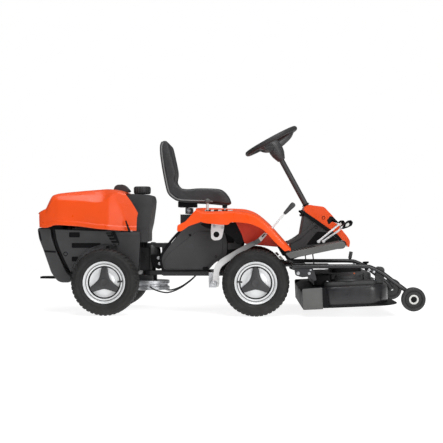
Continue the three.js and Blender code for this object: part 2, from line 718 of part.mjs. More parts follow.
// Each hood station: [x, bottom z, top z, half width at the bottom, half width at the top].
const HOOD_STATIONS = [
  [-1111, 503, 590, 238, 228],
  [-1078, 502, 612, 250, 236],
  [-1032, 501, 680, 258, 226],
  [-949, 519, 711, 266, 214],
  [-836, 507, 723, 270, 206],
  [-700, 490, 726, 270, 202],
  [-636, 485, 722, 268, 200],
  [-586, 481, 702, 266, 204],
  [-546, 479, 648, 264, 222],
  [-505, 478, 565, 262, 250],
];

function hoodLoop([x, bottom, top, low, high], inset, reachDown) {
  const waist = bottom + 0.5 * (top - bottom);
  const roof = top - inset;
  const shoulder = top - 0.16 * (top - bottom) - inset;
  const side = [
    [low - inset, bottom - reachDown], [low - 4 - inset, waist],
    [high - inset, shoulder], [high - 36 - inset, roof],
  ];
  const mirrored = [...side].reverse().map(([y, z]) => [-y, z]);
  return [...side, ...mirrored].map(([y, z]) => [x, y, z]);
}

function addHood() {
  const outer = loft(HOOD_STATIONS.map((station) => hoodLoop(station, 0, 0)));
  const stations = HOOD_STATIONS.map(([x, ...rest], i) => [x + (i === 0 ? SHEET : 0), ...rest]);
  stations[stations.length - 1] = [-480, 478, 520, 262, 250];
  const inner = loft(stations.map((station) => hoodLoop(station, SHEET, 20)));
  const cowlMouth = block([-595, -470], [-134, 134], [400, 760]);
  add('hood', cut(outer, inner, cowlMouth), ORANGE);
}

function addRearBumper() {
  const profile = [
    [-1091, 498], [-1082, 436], [-1054, 364], [-1010, 236], [-977, 192], [-954, 181], [-899, 181],
    [-893, 212], [-926, 246], [-954, 308], [-982, 369], [-1010, 447], [-1014, 498],
  ];
  const slot = block([-1120, -900], [-150, 150], [400, 470]);
  add('rear_bumper', cut(sidePlate(profile, -232, 232, 14), slot), DARK_PLASTIC);
  const plan = [[-1115, -40], [-1115, 40], [-1040, 60], [-992, 60], [-992, -60], [-1040, -60]];
  const hitch = cut(planPlate(plan, 194, 205, 10), bar([-1082, 0, 150], [-1082, 0, 250], 10, 16));
  add('tow_hitch', hitch, BARE_STEEL);
}

function addEnginePanels() {
  const profile = [
    [-1002, 490], [-672, 478], [-600, 440], [-590, 365],
    [-620, 260], [-860, 225], [-925, 225], [-985, 360],
  ];
  const slots = [[-906, -776, 439, 467], [-892, -760, 390, 412], [-892, -848, 300, 340]];
  for (const side of [RIGHT, LEFT]) {
    const [yLow, yHigh] = spanY(side, 244, 250);
    const arch = axleBar(REAR_AXLE_X, yLow - 5, yHigh + 5, WHEEL_RADIUS + 24, 40);
    const holes = slots.map(([x0, x1, z0, z1]) => block([x0, x1], [yLow - 5, yHigh + 5], [z0, z1]));
    const panel = cut(sidePlate(profile, yLow, yHigh, 16), arch, ...holes);
    add(`engine_panel_${sideName(side)}`, panel, DARK_PLASTIC);
  }
}

function addCowl() {
  const front = [
    [-590, 690], [-551, 697], [-441, 690], [-432, 661], [-436, 613], [-448, 528], [-461, 474],
    [-461, 412], [-545, 412], [-560, 560], [-590, 600],
  ];
  const skirt = [
    [-684, 474], [-500, 474], [-497, 420], [-505, 300], [-512, 246], [-560, 246], [-622, 362],
  ];
  const web = block([-508, -500], [-227, 227], [414, 474]);
  const skirts = [RIGHT, LEFT].map((side) => sidePlate(skirt, ...spanY(side, 223, 231), 12));
  add('cowl', join(sidePlate(front, -130, 130, 10), web, ...skirts), DARK_PLASTIC);

  const capProfile = [[0, 697.5], [44, 697.5], [51, 706], [51, 733], [42, 744], [0, 744]];
  add('fuel_cap', turnedUpright(capProfile, 24).translate(FUEL_CAP_X, 0, 0), RUBBER);
}

function addSteeringCables() {
  for (const side of [RIGHT, LEFT]) {
    const route = [
      [-450, 119, 155.5], [-390, 118, 153], [-320, 108, 158], [-260, 96, 176], [-215, 90, 200],
    ];
    const path = new THREE.CatmullRomCurve3(route.map(([x, y, z]) => new THREE.Vector3(x, side * y, z)));
    add(`steering_cable_${sideName(side)}`, sweep(path, 5, 10, 8), RUBBER);
  }
}

// ---- Assembly -------------------------------------------------------------------------------

addWheels();
addMainFrame();
addFrontAxle();
addSidePanels();
addFender();
addFootplates();
addConsole();
addFrontCover();
addSteering();
addSeat();
addLiftLever();
addHandControls();
addPedals();
addLiftFrame();
addDeck();
addBlades();
addRearFrame();
addTransaxle();
addEngine();
addHood();
addRearBumper();
addEnginePanels();
addCowl();
addSteeringCables();

export default mower;
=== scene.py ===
"""Looks for the articulated ride-on mower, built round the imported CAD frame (metres, +X forward, +Z up)."""

import math

import bmesh
import bpy
from mathutils import Matrix, Vector, noise


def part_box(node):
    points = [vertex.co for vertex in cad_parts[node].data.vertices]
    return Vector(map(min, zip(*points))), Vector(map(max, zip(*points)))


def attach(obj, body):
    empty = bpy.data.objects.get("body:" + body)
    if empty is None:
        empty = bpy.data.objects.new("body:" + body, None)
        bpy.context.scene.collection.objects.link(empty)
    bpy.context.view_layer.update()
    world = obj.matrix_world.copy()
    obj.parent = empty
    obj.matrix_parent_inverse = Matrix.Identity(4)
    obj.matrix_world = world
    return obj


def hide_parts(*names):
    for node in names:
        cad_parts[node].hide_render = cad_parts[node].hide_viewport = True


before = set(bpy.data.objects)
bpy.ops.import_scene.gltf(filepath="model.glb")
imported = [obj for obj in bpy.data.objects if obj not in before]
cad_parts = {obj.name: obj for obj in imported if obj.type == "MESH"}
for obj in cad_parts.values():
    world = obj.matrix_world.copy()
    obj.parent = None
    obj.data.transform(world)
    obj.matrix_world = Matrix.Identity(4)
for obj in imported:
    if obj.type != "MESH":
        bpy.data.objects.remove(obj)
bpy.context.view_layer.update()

MM = 0.001
SIDES = (("right", -1), ("left", 1))
SHARP_ANGLE = math.radians(32)
SIM_FRAMES = 20
SEAT_SWELL = 0.007  # how far the seat padding may swell outwards


# ---- Camera, floor and light ------------------------------------------------------------------

CAMERA_PLACE = (0.121, -6.010, 0.534)
CAMERA_LENS = 81.3
CAMERA_SENSOR = 36.0
CAMERA_SHIFT_X = -0.0576
CAMERA_ROLL = 0.0
AMBIENT = 0.25
BACKDROP = 1.0
FLOOR_GLOW = 0.86
KEY_POWER = 95
FILL_POWER = 70
TOP_POWER = 60
FLOOR_SIZE = 9.0
FLOOR_TONE = (0.42, 0.42, 0.42)


def make_camera():
    data = bpy.data.cameras.new("camera")
    data.lens = CAMERA_LENS
    data.sensor_width = CAMERA_SENSOR
    data.shift_x = CAMERA_SHIFT_X
    data.dof.use_dof = False
    camera = bpy.data.objects.new("camera", data)
    camera.location = CAMERA_PLACE
    camera.rotation_euler = (math.radians(90), CAMERA_ROLL, 0)
    bpy.context.scene.collection.objects.link(camera)
    bpy.context.scene.camera = camera


def make_light(name, place, target, size, power):
    data = bpy.data.lights.new(name, "AREA")
    data.shape = "RECTANGLE"
    data.size, data.size_y = size
    data.energy = power
    lamp = bpy.data.objects.new(name, data)
    lamp.location = place
    lamp.rotation_euler = (Vector(target) - Vector(place)).to_track_quat("-Z", "Y").to_euler()
    bpy.context.scene.collection.objects.link(lamp)


def make_studio():
    world = bpy.data.worlds.new("studio")
    world.use_nodes = True
    tree = world.node_tree
    background = tree.nodes["Background"]
    background.inputs["Color"].default_value = (1.0, 1.0, 1.0, 1.0)
    sight = tree.nodes.new("ShaderNodeLightPath")
    strength = tree.nodes.new("ShaderNodeMapRange")
    strength.inputs["To Min"].default_value = AMBIENT
    strength.inputs["To Max"].default_value = BACKDROP
    tree.links.new(sight.outputs["Is Camera Ray"], strength.inputs["Value"])
    tree.links.new(strength.outputs["Result"], background.inputs["Strength"])
    bpy.context.scene.world = world
    bpy.context.scene.view_settings.view_transform = "Standard"
    middle = (0.0, 0.0, 0.45)
    make_light("key", (0.6, -2.6, 4.0), middle, (3.2, 1.8), KEY_POWER)
    make_light("fill", (2.6, -4.4, 1.6), middle, (1.4, 2.2), FILL_POWER)
    make_light("top", (-0.3, -0.5, 4.2), middle, (3.6, 1.6), TOP_POWER)
    bpy.ops.mesh.primitive_plane_add(size=FLOOR_SIZE, location=(0, 0, -0.0005))
    floor = bpy.context.object
    floor.name = "floor"
    white = surface("floor_white", FLOOR_TONE, 0.9, spread=0.01, bump=0.0)
    shader = white.node_tree.nodes["Principled BSDF"]
    shader.inputs["Emission Color"].default_value = (1.0, 1.0, 1.0, 1.0)
    shader.inputs["Emission Strength"].default_value = FLOOR_GLOW
    floor.data.materials.append(white)


# ---- Materials ----------------------------------------------------------------------------------


class Nodes:
    """A short way to add and link shader nodes."""

    def __init__(self, name):
        self.material = bpy.data.materials.new(name)
        self.material.use_nodes = True
        self.tree = self.material.node_tree
        self.shader = self.tree.nodes["Principled BSDF"]
        self.place = self.add("ShaderNodeTexCoord").outputs["Object"]

    def add(self, kind, **settings):
        node = self.tree.nodes.new(kind)
        for key, value in settings.items():
            setattr(node, key, value)
        return node

    def link(self, output, socket):
        self.tree.links.new(output, socket)

    def noise(self, scale, detail=4.0, stretch=None):
        node = self.add("ShaderNodeTexNoise")
        node.inputs["Scale"].default_value = scale
        node.inputs["Detail"].default_value = detail
        place = self.place
        if stretch:
            mapping = self.add("ShaderNodeMapping")
            mapping.inputs["Scale"].default_value = stretch
            self.link(place, mapping.inputs["Vector"])
            place = mapping.outputs["Vector"]
        self.link(place, node.inputs["Vector"])
        return node.outputs["Fac"]

    def cells(self, scale):
        node = self.add("ShaderNodeTexVoronoi", feature="DISTANCE_TO_EDGE")
        node.inputs["Scale"].default_value = scale
        self.link(self.place, node.inputs["Vector"])
        return node.outputs["Distance"]

    def remap(self, value, from_low, from_high, to_low, to_high):
        node = self.add("ShaderNodeMapRange")
        for key, number in zip(("From Min", "From Max", "To Min", "To Max"),
                               (from_low, from_high, to_low, to_high)):
            node.inputs[key].default_value = number
        self.link(value, node.inputs["Value"])
        return node.outputs["Result"]

    def mix(self, factor, first, second):
        node = self.add("ShaderNodeMix", data_type="RGBA")
        self.link(factor, node.inputs[0])
        for socket, value in ((node.inputs[6], first), (node.inputs[7], second)):
            if isinstance(value, tuple):
                socket.default_value = (*value, 1.0)
            else:
                self.link(value, socket)
        return node.outputs[2]

    def bump(self, height, strength, distance, before=None):
        node = self.add("ShaderNodeBump")
        node.inputs["Strength"].default_value = strength
        node.inputs["Distance"].default_value = distance
        self.link(height, node.inputs["Height"])
        if before:
            self.link(before, node.inputs["Normal"])
        return node.outputs["Normal"]


def shaded(colour, factor):
    return tuple(min(1.0, channel * factor) for channel in colour)


def surface(name, colour, roughness, metallic=0.0, spread=0.15, clouds=9.0, grain=420.0, bump=0.15,
            coat=0.0, dust=0.0, brushed=None, wear=0.0, cells=0.0, shine=0.5, fade=None):
    """Clouded colour, uneven gloss and fine surface grain, with dust low down and worn edges on request."""
    n = Nodes(name)
    cloud = n.noise(clouds, 5.0, brushed)
    tone = n.mix(n.remap(cloud, 0.35, 0.65, 0.0, 1.0), shaded(colour, 1 - spread),
                 shaded(colour, 1 + spread))
    if wear:
        edge = n.add("ShaderNodeNewGeometry").outputs["Pointiness"]
        tone = n.mix(n.remap(edge, 0.53, 0.62, 0.0, wear), tone, shaded(colour, 3.0))
    if dust:
        height = n.add("ShaderNodeSeparateXYZ")
        n.link(n.place, height.inputs[0])
        low = n.add("ShaderNodeMath", operation="MULTIPLY")
        n.link(n.remap(height.outputs["Z"], 0.0, 0.35, dust, 0.0), low.inputs[0])
        n.link(n.noise(24.0, 6.0), low.inputs[1])
        tone = n.mix(low.outputs[0], tone, (0.30, 0.28, 0.25))
    if fade:
        start, stop, upper = fade
        height = n.add("ShaderNodeSeparateXYZ")
        n.link(n.place, height.inputs[0])
        tone = n.mix(n.remap(height.outputs["Z"], start, stop, 0.0, 1.0), tone, upper)
    n.link(tone, n.shader.inputs["Base Color"])
    gloss = n.noise(clouds * 3.0, 4.0, brushed)
    n.link(n.remap(gloss, 0.3, 0.7, max(0.03, roughness - 0.08), min(1.0, roughness + 0.08)),
           n.shader.inputs["Roughness"])
    n.shader.inputs["Metallic"].default_value = metallic
    n.shader.inputs["Specular IOR Level"].default_value = shine
    n.shader.inputs["Coat Weight"].default_value = coat
    n.shader.inputs["Coat Roughness"].default_value = 0.08
    if bump:
        normal = n.bump(n.noise(grain, 3.0, brushed), bump, 0.0004)
        if cells:
            normal = n.bump(n.remap(n.cells(cells), 0.0, 0.12, 0.0, 1.0), 0.35, 0.0006, normal)
        n.link(normal, n.shader.inputs["Normal"])
    return n.material


ORANGE = surface("gloss_orange", (0.83, 0.074, 0.002), 0.34, spread=0.05, clouds=5.0, grain=900.0,
                 bump=0.05, coat=0.15, shine=0.4)
# A darker copy of the orange paint for the wheel-arch walls: painted shade inside the arch.
ARCH_SHADE_ORANGE = surface("arch_wall_shaded_orange", (0.56, 0.026, 0.002), 0.42, spread=0.08, grain=700.0, bump=0.08)
DARK = surface("dark_moulding", (0.034, 0.034, 0.036), 0.50, spread=0.16, grain=1100.0, bump=0.30)
BLACK = surface("black_moulding", (0.005, 0.005, 0.006), 0.50, spread=0.16, grain=1100.0, bump=0.22,
                shine=0.12)
GREY = surface("grey_moulding", (0.088, 0.088, 0.086), 0.55, spread=0.10, grain=900.0, bump=0.35)
STEEL_PAINT = surface("black_enamel", (0.015, 0.015, 0.017), 0.34, metallic=0.15, spread=0.2, grain=600.0,
                      bump=0.12, coat=0.15, wear=0.25)
BARE = surface("zinc_steel", (0.52, 0.53, 0.55), 0.34, metallic=0.9, spread=0.12, clouds=40.0, bump=0.12,
               wear=0.2)
BRUSHED = surface("brushed_steel", (0.50, 0.51, 0.53), 0.30, metallic=1.0, spread=0.12, clouds=6.0,
                  grain=60.0, bump=0.2, brushed=(1.0, 60.0, 1.0))
RIM = surface("rim_enamel", (0.78, 0.79, 0.80), 0.34, metallic=0.25, spread=0.06, grain=700.0, bump=0.06,
              coat=0.2)
CAST = surface("cast_alloy", (0.20, 0.20, 0.21), 0.55, metallic=0.6, spread=0.2, clouds=30.0, grain=300.0,
               bump=0.6)
RUBBER = surface("black_rubber", (0.018, 0.018, 0.019), 0.62, spread=0.2, grain=800.0, bump=0.35)
TYRE = surface("tyre_rubber", (0.015, 0.015, 0.015), 0.70, spread=0.25, clouds=16.0, grain=700.0, bump=0.4,
               dust=0.06, shine=0.3)
LEVER_PAINT = surface("lever_paint", (0.72, 0.72, 0.72), 0.35, metallic=0.2, spread=0.06, grain=700.0,
                      bump=0.06, fade=(0.29, 0.42, (0.10, 0.10, 0.10)))
VINYL = surface("seat_vinyl", (0.020, 0.020, 0.022), 0.42, spread=0.12, clouds=12.0, grain=900.0, bump=0.15,
                cells=520.0)
# Light grey piping: a real welt, its pale colour a painted highlight along the seat's edge.
PIPING_HIGHLIGHT = surface("seat_piping_highlight", (0.16, 0.16, 0.16), 0.45, spread=0.1, grain=900.0, bump=0.2)
TAG = surface("orange_tag", (0.85, 0.16, 0.02), 0.4, spread=0.06)
STRIPE = surface("pale_plastic", (0.62, 0.62, 0.60), 0.4, spread=0.05)


# ---- Mesh helpers -------------------------------------------------------------------------------


def mm(*numbers):
    return Vector([number * MM for number in numbers])


def new_object(name, points, faces, finish, smooth=True):
    mesh = bpy.data.meshes.new(name)
    mesh.from_pydata([tuple(p) for p in points], [], faces)
    mesh.update()
    work = bmesh.new()
    work.from_mesh(mesh)
    bmesh.ops.recalc_face_normals(work, faces=work.faces)
    work.to_mesh(mesh)
    work.free()
    obj = bpy.data.objects.new(name, mesh)
    bpy.context.scene.collection.objects.link(obj)
    mesh.materials.append(finish)
    if smooth:
        mesh.shade_smooth()
        mesh.set_sharp_from_angle(angle=SHARP_ANGLE)
    return obj


def modify(obj, kind, **settings):
    modifier = obj.modifiers.new(kind.lower(), kind)
    for key, value in settings.items():
        setattr(modifier, key, value)
    return modifier


def bevelled(obj, width, segments=3):
    modify(obj, "BEVEL", width=width, segments=segments, limit_method="ANGLE", angle_limit=math.radians(28),
           harden_normals=False)
    modify(obj, "WEIGHTED_NORMAL", keep_sharp=True)
    return obj


def settle(obj, body, *nodes):
    """The object rides on a body and stands for the given CAD nodes."""
    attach(obj, body)
    if nodes:
        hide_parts(*nodes)
    return obj


def refined(node, body, finish, bevel=2.0, segments=3):
    """A copy of a CAD node's own shape with its facets merged and its edges rounded."""
    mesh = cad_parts[node].data.copy()
    mesh.materials.clear()
    mesh.materials.append(finish)
    work = bmesh.new()
    work.from_mesh(mesh)
    bmesh.ops.remove_doubles(work, verts=work.verts, dist=1e-5)
    bmesh.ops.dissolve_limit(work, angle_limit=math.radians(1.5), verts=work.verts, edges=work.edges)
    work.to_mesh(mesh)
    work.free()
    obj = bpy.data.objects.new(node + "_skin", mesh)
    bpy.context.scene.collection.objects.link(obj)
    mesh.shade_smooth()
    mesh.set_sharp_from_angle(angle=SHARP_ANGLE)
    bevelled(obj, bevel * MM, segments)
    return settle(obj, body, node)


def smooth_line(points, steps, closed=False):
    """A Catmull-Rom curve through the points, as a list with the given steps in each stretch."""
    points = [Vector(p) for p in points]
    count = len(points)
    stretches = count if closed else count - 1
    line = []
    for i in range(stretches):
        if closed:
            a, b, c, d = (points[(i + k) % count] for k in (-1, 0, 1, 2))
        else:
            b, c = points[i], points[i + 1]
            a = points[i - 1] if i else 2 * b - c
            d = points[i + 2] if i + 2 < count else 2 * c - b
        for step in range(steps):
            t = step / steps
            line.append(0.5 * (2 * b + (c - a) * t + (2 * a - 5 * b + 4 * c - d) * t * t
                               + (3 * b - a - 3 * c + d) * t ** 3))
    if not closed:
        line.append(points[-1])
    return line


def rounded(points, radius, steps=4):
    """A closed 2-D outline with every corner rounded."""
    result = []
    count = len(points)
    for i in range(count):
        corner = Vector(points[i])
        before = Vector(points[i - 1]) - corner
        after = Vector(points[(i + 1) % count]) - corner
        reach = min(radius, before.length * 0.45, after.length * 0.45)
        enter = corner + before.normalized() * reach
        leave = corner + after.normalized() * reach
        for step in range(steps + 1):
            t = step / steps
            result.append((1 - t) ** 2 * enter + 2 * t * (1 - t) * corner + t * t * leave)
    return result


def prism(name, outline, low, high, finish, across="y"):
    """A closed outline in mm, made solid along y (x and z outline) or z (x and y outline)."""
    place = (lambda p, d: mm(p[0], d, p[1])) if across == "y" else (lambda p, d: mm(p[0], p[1], d))
    count = len(outline)
    points = [place(p, low) for p in outline] + [place(p, high) for p in outline]
    faces = [tuple(range(count)), tuple(range(count, 2 * count))]
    faces += [(i, (i + 1) % count, count + (i + 1) % count, count + i) for i in range(count)]
    return new_object(name, points, faces, finish)


def grid(name, rows, finish, closed_rows=False, closed_columns=False, capped=False):
    """A surface through rows of points, in metres."""
    count = len(rows[0])
    points = [p for row in rows for p in row]
    faces = []
    for r in range(len(rows) if closed_columns else len(rows) - 1):
        below = (r + 1) % len(rows)
        for c in range(count if closed_rows else count - 1):
            right = (c + 1) % count
            faces.append((r * count + c, r * count + right, below * count + right, below * count + c))
    if capped:
        faces.append(tuple(range(count)))
        faces.append(tuple(range((len(rows) - 1) * count, len(rows) * count)))
    return new_object(name, points, faces, finish)


def lathe(name, profile, centre, axis, finish, steps=64, closed=True):
    """A turned piece: profile points are (radius, along) in mm, about an axis through centre (metres)."""
    turn = Vector((0, 0, 1)).rotation_difference(Vector(axis).normalized()).to_matrix()
    rows = []
    for i in range(steps):
        angle = 2 * math.pi * i / steps
        rows.append([Vector(centre) + turn @ mm(r * math.cos(angle), r * math.sin(angle), along)
                     for r, along in profile])
    return grid(name, rows, finish, closed_rows=closed, closed_columns=True)


def tube(name, points, radius, finish, sides=16, scale=None):
    """A round tube through points in metres, with domed ends; scale gives the radius factor along it."""
    points = [Vector(p) for p in points]
    rows = []
    side = None
    for i, point in enumerate(points):
        ahead = (points[min(i + 1, len(points) - 1)] - points[max(i - 1, 0)]).normalized()
        if side is None:
            side = ahead.orthogonal().normalized()
        side = (side - ahead * side.dot(ahead)).normalized()
        up = ahead.cross(side)
        reach = radius * (scale(i / (len(points) - 1)) if scale else 1.0)
        rows.append([point + reach * (math.cos(a) * side + math.sin(a) * up)
                     for a in (2 * math.pi * k / sides for k in range(sides))])
    return grid(name, rows, finish, closed_rows=True, capped=True)


def joined(name, pieces):
    """Several mesh objects as one, keeping their materials."""
    work = bmesh.new()
    finishes = []
    for piece in pieces:
        first = len(work.faces)
        work.from_mesh(piece.data)
        work.faces.ensure_lookup_table()
        index = []
        for finish in piece.data.materials:
            if finish not in finishes:
                finishes.append(finish)
            index.append(finishes.index(finish))
        for face in work.faces[first:]:
            face.material_index = index[face.material_index]
    mesh = bpy.data.meshes.new(name)
    work.to_mesh(mesh)
    work.free()
    for finish in finishes:
        mesh.materials.append(finish)
    obj = bpy.data.objects.new(name, mesh)
    bpy.context.scene.collection.objects.link(obj)
    for piece in pieces:
        bpy.data.objects.remove(piece)
    return obj


def bolt(name, centre, axis, radius, finish, height=5.0):
    """A hexagon bolt head on its washer."""
    centre, axis = Vector(centre), Vector(axis).normalized()
    washer = lathe(name + "_washer", [(0.1, 0), (radius * 1.35, 0), (radius * 1.35, 1.2), (0.1, 1.2)],
                   centre, axis, finish, 24)
    head = lathe(name + "_head", [(0.1, 1.2), (radius, 1.2), (radius, height - 1), (radius * 0.85, height),
                                  (0.1, height)], centre, axis, finish, 6)
    return joined(name, [washer, head])


# ---- Road wheels --------------------------------------------------------------------------------

LUGS_PER_ROW = 44
LUG_WIDTH = 15.5
LUG_DEPTH = 7.0
LUG_SKEW = 0.022
HUB_STEPS = 180
# The hub cover's outline: degrees from an arm's middle, and reach in mm.
HUB_OUTLINE = [(0, 87), (9.5, 86.5), (12, 80), (20, 60.5), (30, 49), (42, 41), (60, 37)]
REAR_AXLE_X = -685
WHEEL_CENTRE_Z = 190
ARCH_RADIUS = 214


def centre_of(node):
    low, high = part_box(node)
    return (low + high) / 2


def tyre_lugs(centre, finish):
    """Rows of blocks round the tread, each bent over the shoulder onto the sidewall."""
    path = [(190.0, 3), (190.0, 40), (188.0, 54), (182.5, 65), (173.0, 72.5)]
    corners = ((0, 0.42), (0, -0.42), (LUG_DEPTH, -0.50), (LUG_DEPTH, 0.50))
    points, faces = [], []
    for row in (-1, 1):
        for i in range(LUGS_PER_ROW):
            middle = 2 * math.pi * (i + (0.5 if row > 0 else 0.0)) / LUGS_PER_ROW
            first = len(points)
            for step, (radius, across) in enumerate(path):
                angle = middle + LUG_SKEW * step
                for depth, width in corners:
                    r = radius - depth
                    turn = angle + width * LUG_WIDTH / radius
                    y = row * (across - (3 if depth and step else 0))
                    points.append(centre + mm(r * math.cos(turn), y, r * math.sin(turn)))
            for step in range(len(path) - 1):
                a = first + step * 4
                faces += [(a + k, a + (k + 1) % 4, a + 4 + (k + 1) % 4, a + 4 + k) for k in range(4)]
            end = first + (len(path) - 1) * 4
            faces += [(first, first + 1, first + 2, first + 3), (end, end + 1, end + 2, end + 3)]
    return new_object("lugs", points, faces, finish)


def make_tyre(name, body, side, node):
    centre = centre_of(node)
    wall = [(121, 61), (126, 68), (135, 72.5), (137, 74.6), (140, 74.6), (142, 73.6), (155, 76.2),
            (157, 77.0), (160, 77.0), (162, 75.8), (172, 71.0), (179, 64.5), (184, 54), (186.6, 38)]
    profile = wall + [(187.2, 0)] + [(r, -y) for r, y in reversed(wall)]
    profile += [(118, -58), (116, 0), (118, 58)]
    casing = lathe("casing", profile, centre, (0, side, 0), TYRE, 120)
    tyre = joined(name, [casing, tyre_lugs(centre, TYRE)])
    return settle(tyre, body, node)


def make_rim(name, body, side, node, stem_x):
    centre = centre_of(node.replace("rim", "tyre"))
    dish = [(20.5, 43), (44, 44.5), (50, 43), (58, 38), (64, 36.5), (78, 37), (84, 38), (87, 39)]
    step = [(90, 45), (92, 51), (95, 53.5), (101, 54), (103, 52.4), (106, 52.8), (108, 57), (111, 62.5),
            (115, 65.8)]
    inside = [(119, 65.8), (119.2, 60), (116, 57), (114, 40), (113, -60), (119, -65.8), (112, -65.8),
              (108, -30), (100, 24), (60, 22), (45, -22), (20.5, -22)]
    rim = lathe("rim", dish + step + inside, centre, (0, side, 0), RIM, 120)
    # A black band on the step's sloping wall is painted shade at the step, and the grey ring laid in the
    # groove below is painted shade in the groove.
    shadow = [(86, 39.6), (88, 40.2), (90.8, 46), (92.6, 51.6), (91.4, 52.4), (88.6, 47.6), (85.4, 42)]
    seam = lathe("seam", shadow, centre, (0, side, 0), BLACK, 120)
    groove_shade = lathe("groove_shade", [(101.6, 53.2), (103, 53.6), (106.4, 54), (106.6, 52.4), (101.6, 52.4)],
                   centre, (0, side, 0), GREY, 120)
    foot = centre + Vector((stem_x * 0.100, side * 0.052, 0.006))
    bend = foot + Vector((-0.006 * stem_x, side * 0.010, 0))
    stem = tube("stem", [foot, bend, bend + Vector((-0.018 * stem_x, side * 0.003, -0.001))], 0.0052,
                RUBBER, 12)
    return settle(joined(name, [rim, seam, groove_shade, stem]), body, node)


def make_hub_cap(name, body, side, node):
    """The dark cover: three arms, wide at the root and narrower at the rim."""
    centre = centre_of(node.replace("hub_cap", "tyre"))
    rings = []
    for lift, size in ((44.0, 1.0), (50.5, 1.0), (53.0, 0.975), (54.2, 0.93), (56.0, 0.62), (57.0, 0.25)):
        ring = []
        for i in range(HUB_STEPS):
            angle = 2 * math.pi * i / HUB_STEPS
            reach = size * hub_reach(angle - math.pi / 2)
            ring.append(centre + mm(reach * math.cos(angle), side * lift, reach * math.sin(angle)))
        rings.append(ring)
    arms = grid("arms", rings, DARK, closed_rows=True, capped=True)
    profile = [(0.1, 53), (24, 53), (25, 56.8), (23.6, 59), (20, 59.6), (18.5, 58.8), (0.1, 59.4)]
    button = lathe("button", profile, centre, (0, side, 0), DARK, 48)
    return settle(joined(name, [arms, button]), body, node)


def hub_reach(angle):
    """How far the hub cover reaches, in mm, at an angle from the nearest arm's middle."""
    third = 2 * math.pi / 3
    off = math.degrees(abs((angle + third / 2) % third - third / 2))
    for (a0, r0), (a1, r1) in zip(HUB_OUTLINE, HUB_OUTLINE[1:]):
        if off <= a1:
            return r0 + (r1 - r0) * (off - a0) / (a1 - a0)
    return HUB_OUTLINE[-1][1]


def make_road_wheels():
    for end, stem_x in (("front", -1), ("rear", 1)):
        for word, side in SIDES:
            body = f"{end}_wheel_{word}"
            make_tyre(f"{end}_tyre_{word}_tread", body, side, f"{end}_tyre_{word}")
            make_rim(f"{end}_rim_{word}_disc", body, side, f"{end}_rim_{word}", stem_x)
            make_hub_cap(f"{end}_hub_cover_{word}", body, side, f"{end}_hub_cap_{word}")


# ---- Hood and rear covers -----------------------------------------------------------------------

# Hood stations from the back forwards: x, bottom z, top z, half width low and high, and the drop from
# roof to crease.
HOOD_STATIONS = [
    (-1076, 502, 580, 236, 228, 16), (-1070, 500, 590, 242, 232, 20), (-1052, 498, 603, 249, 235, 24),
    (-1038, 498, 612, 252, 235, 27), (-1022, 500, 648, 256, 231, 30), (-1006, 505, 680, 259, 226, 32),
    (-988, 512, 692, 261, 221, 36), (-949, 513, 701, 266, 212, 42), (-836, 505, 713, 269, 196, 58),
    (-740, 492, 721, 270, 188, 74), (-700, 489, 724, 269, 190, 70), (-660, 485, 723, 268, 200, 40),
    (-620, 482, 717, 267, 206, 16), (-586, 480, 702, 266, 206, 10),
]
HOOD_CHEEKS = [(-586, 702), (-566, 676), (-546, 648), (-520, 604), (-503, 571), (-516, 556), (-518, 480)]
HOOD_WALL = 4.0
HOOD_TAIL_BULGE = 34
CHEEK_STEPS = 10
PANEL_SLOTS = [(-904, -842, 443, 472), (-888, -722, 382, 410), (-888, -852, 304, 332)]


def hood_section(x, foot, roof, low, high, drop):
    """Half a cross-section, from the foot over the flange and shoulder crease to the roof's middle."""
    crease = roof - drop
    rise = crease - foot
    corners = [(low + 1, foot), (low + 2, foot + 4), (low + 2, foot + min(22, 0.3 * rise)),
               (low - 2, foot + min(28, 0.38 * rise)), (low - 2, foot + 0.6 * rise), (low - 3, crease - 5),
               (low - 6, crease), (0.5 * (low + high), roof - 0.5 * drop),
               (high + 4, roof - 0.10 * drop - 2),
               (high - 10, roof - 2), (high * 0.5, roof - 0.5), (0, roof)]
    line = []
    for (y0, z0), (y1, z1) in zip(corners, corners[1:]):
        line += [(y0 + (y1 - y0) * k / 4, z0 + (z1 - z0) * k / 4) for k in range(4)]
    return line + [corners[-1]]


def make_hood():
    places = smooth_line([Vector(station[:3]) for station in HOOD_STATIONS], 5)
    widths = smooth_line([Vector(station[3:]) for station in HOOD_STATIONS], 5)
    rows = []
    for place, width in zip(places, widths):
        half = hood_section(*place, *width)
        full = half + [(-y, z) for y, z in reversed(half[:-1])]
        rows.append([mm(*hood_bend(place.x, y, z)) for y, z in full])
    body = grid("hood_body", rows, ORANGE)
    back = new_object("hood_back", rows[0], [tuple(range(len(rows[0])))], ORANGE)
    cheeks = [hood_cheek(side) for _, side in SIDES]
    hood = joined("hood_cover", [body, back, *cheeks])
    weld(hood)
    modify(hood, "SOLIDIFY", thickness=HOOD_WALL * MM, offset=-1.0)
    bevelled(hood, 1.6 * MM, 2)
    settle(hood, "hood", "hood")
    for word, side in SIDES:
        face = side * 266
        # A black strip through the hood's side: painted shade in the slot.
        slot = prism(f"hood_slot_shade_{word}", rounded([(-560, 472), (-545, 472), (-572, 540), (-579, 538)], 2),
                     face - 4, face + 4, BLACK)
        settle(slot, "hood")
    outline = rounded([(-676, 721), (-668, 744), (-652, 754), (-618, 755), (-600, 742), (-578, 716),
                       (-588, 708), (-640, 716)], 8)
    latch = bevelled(prism("hood_latch", outline, -46, 46, DARK), 5 * MM, 4)
    settle(latch, "hood")


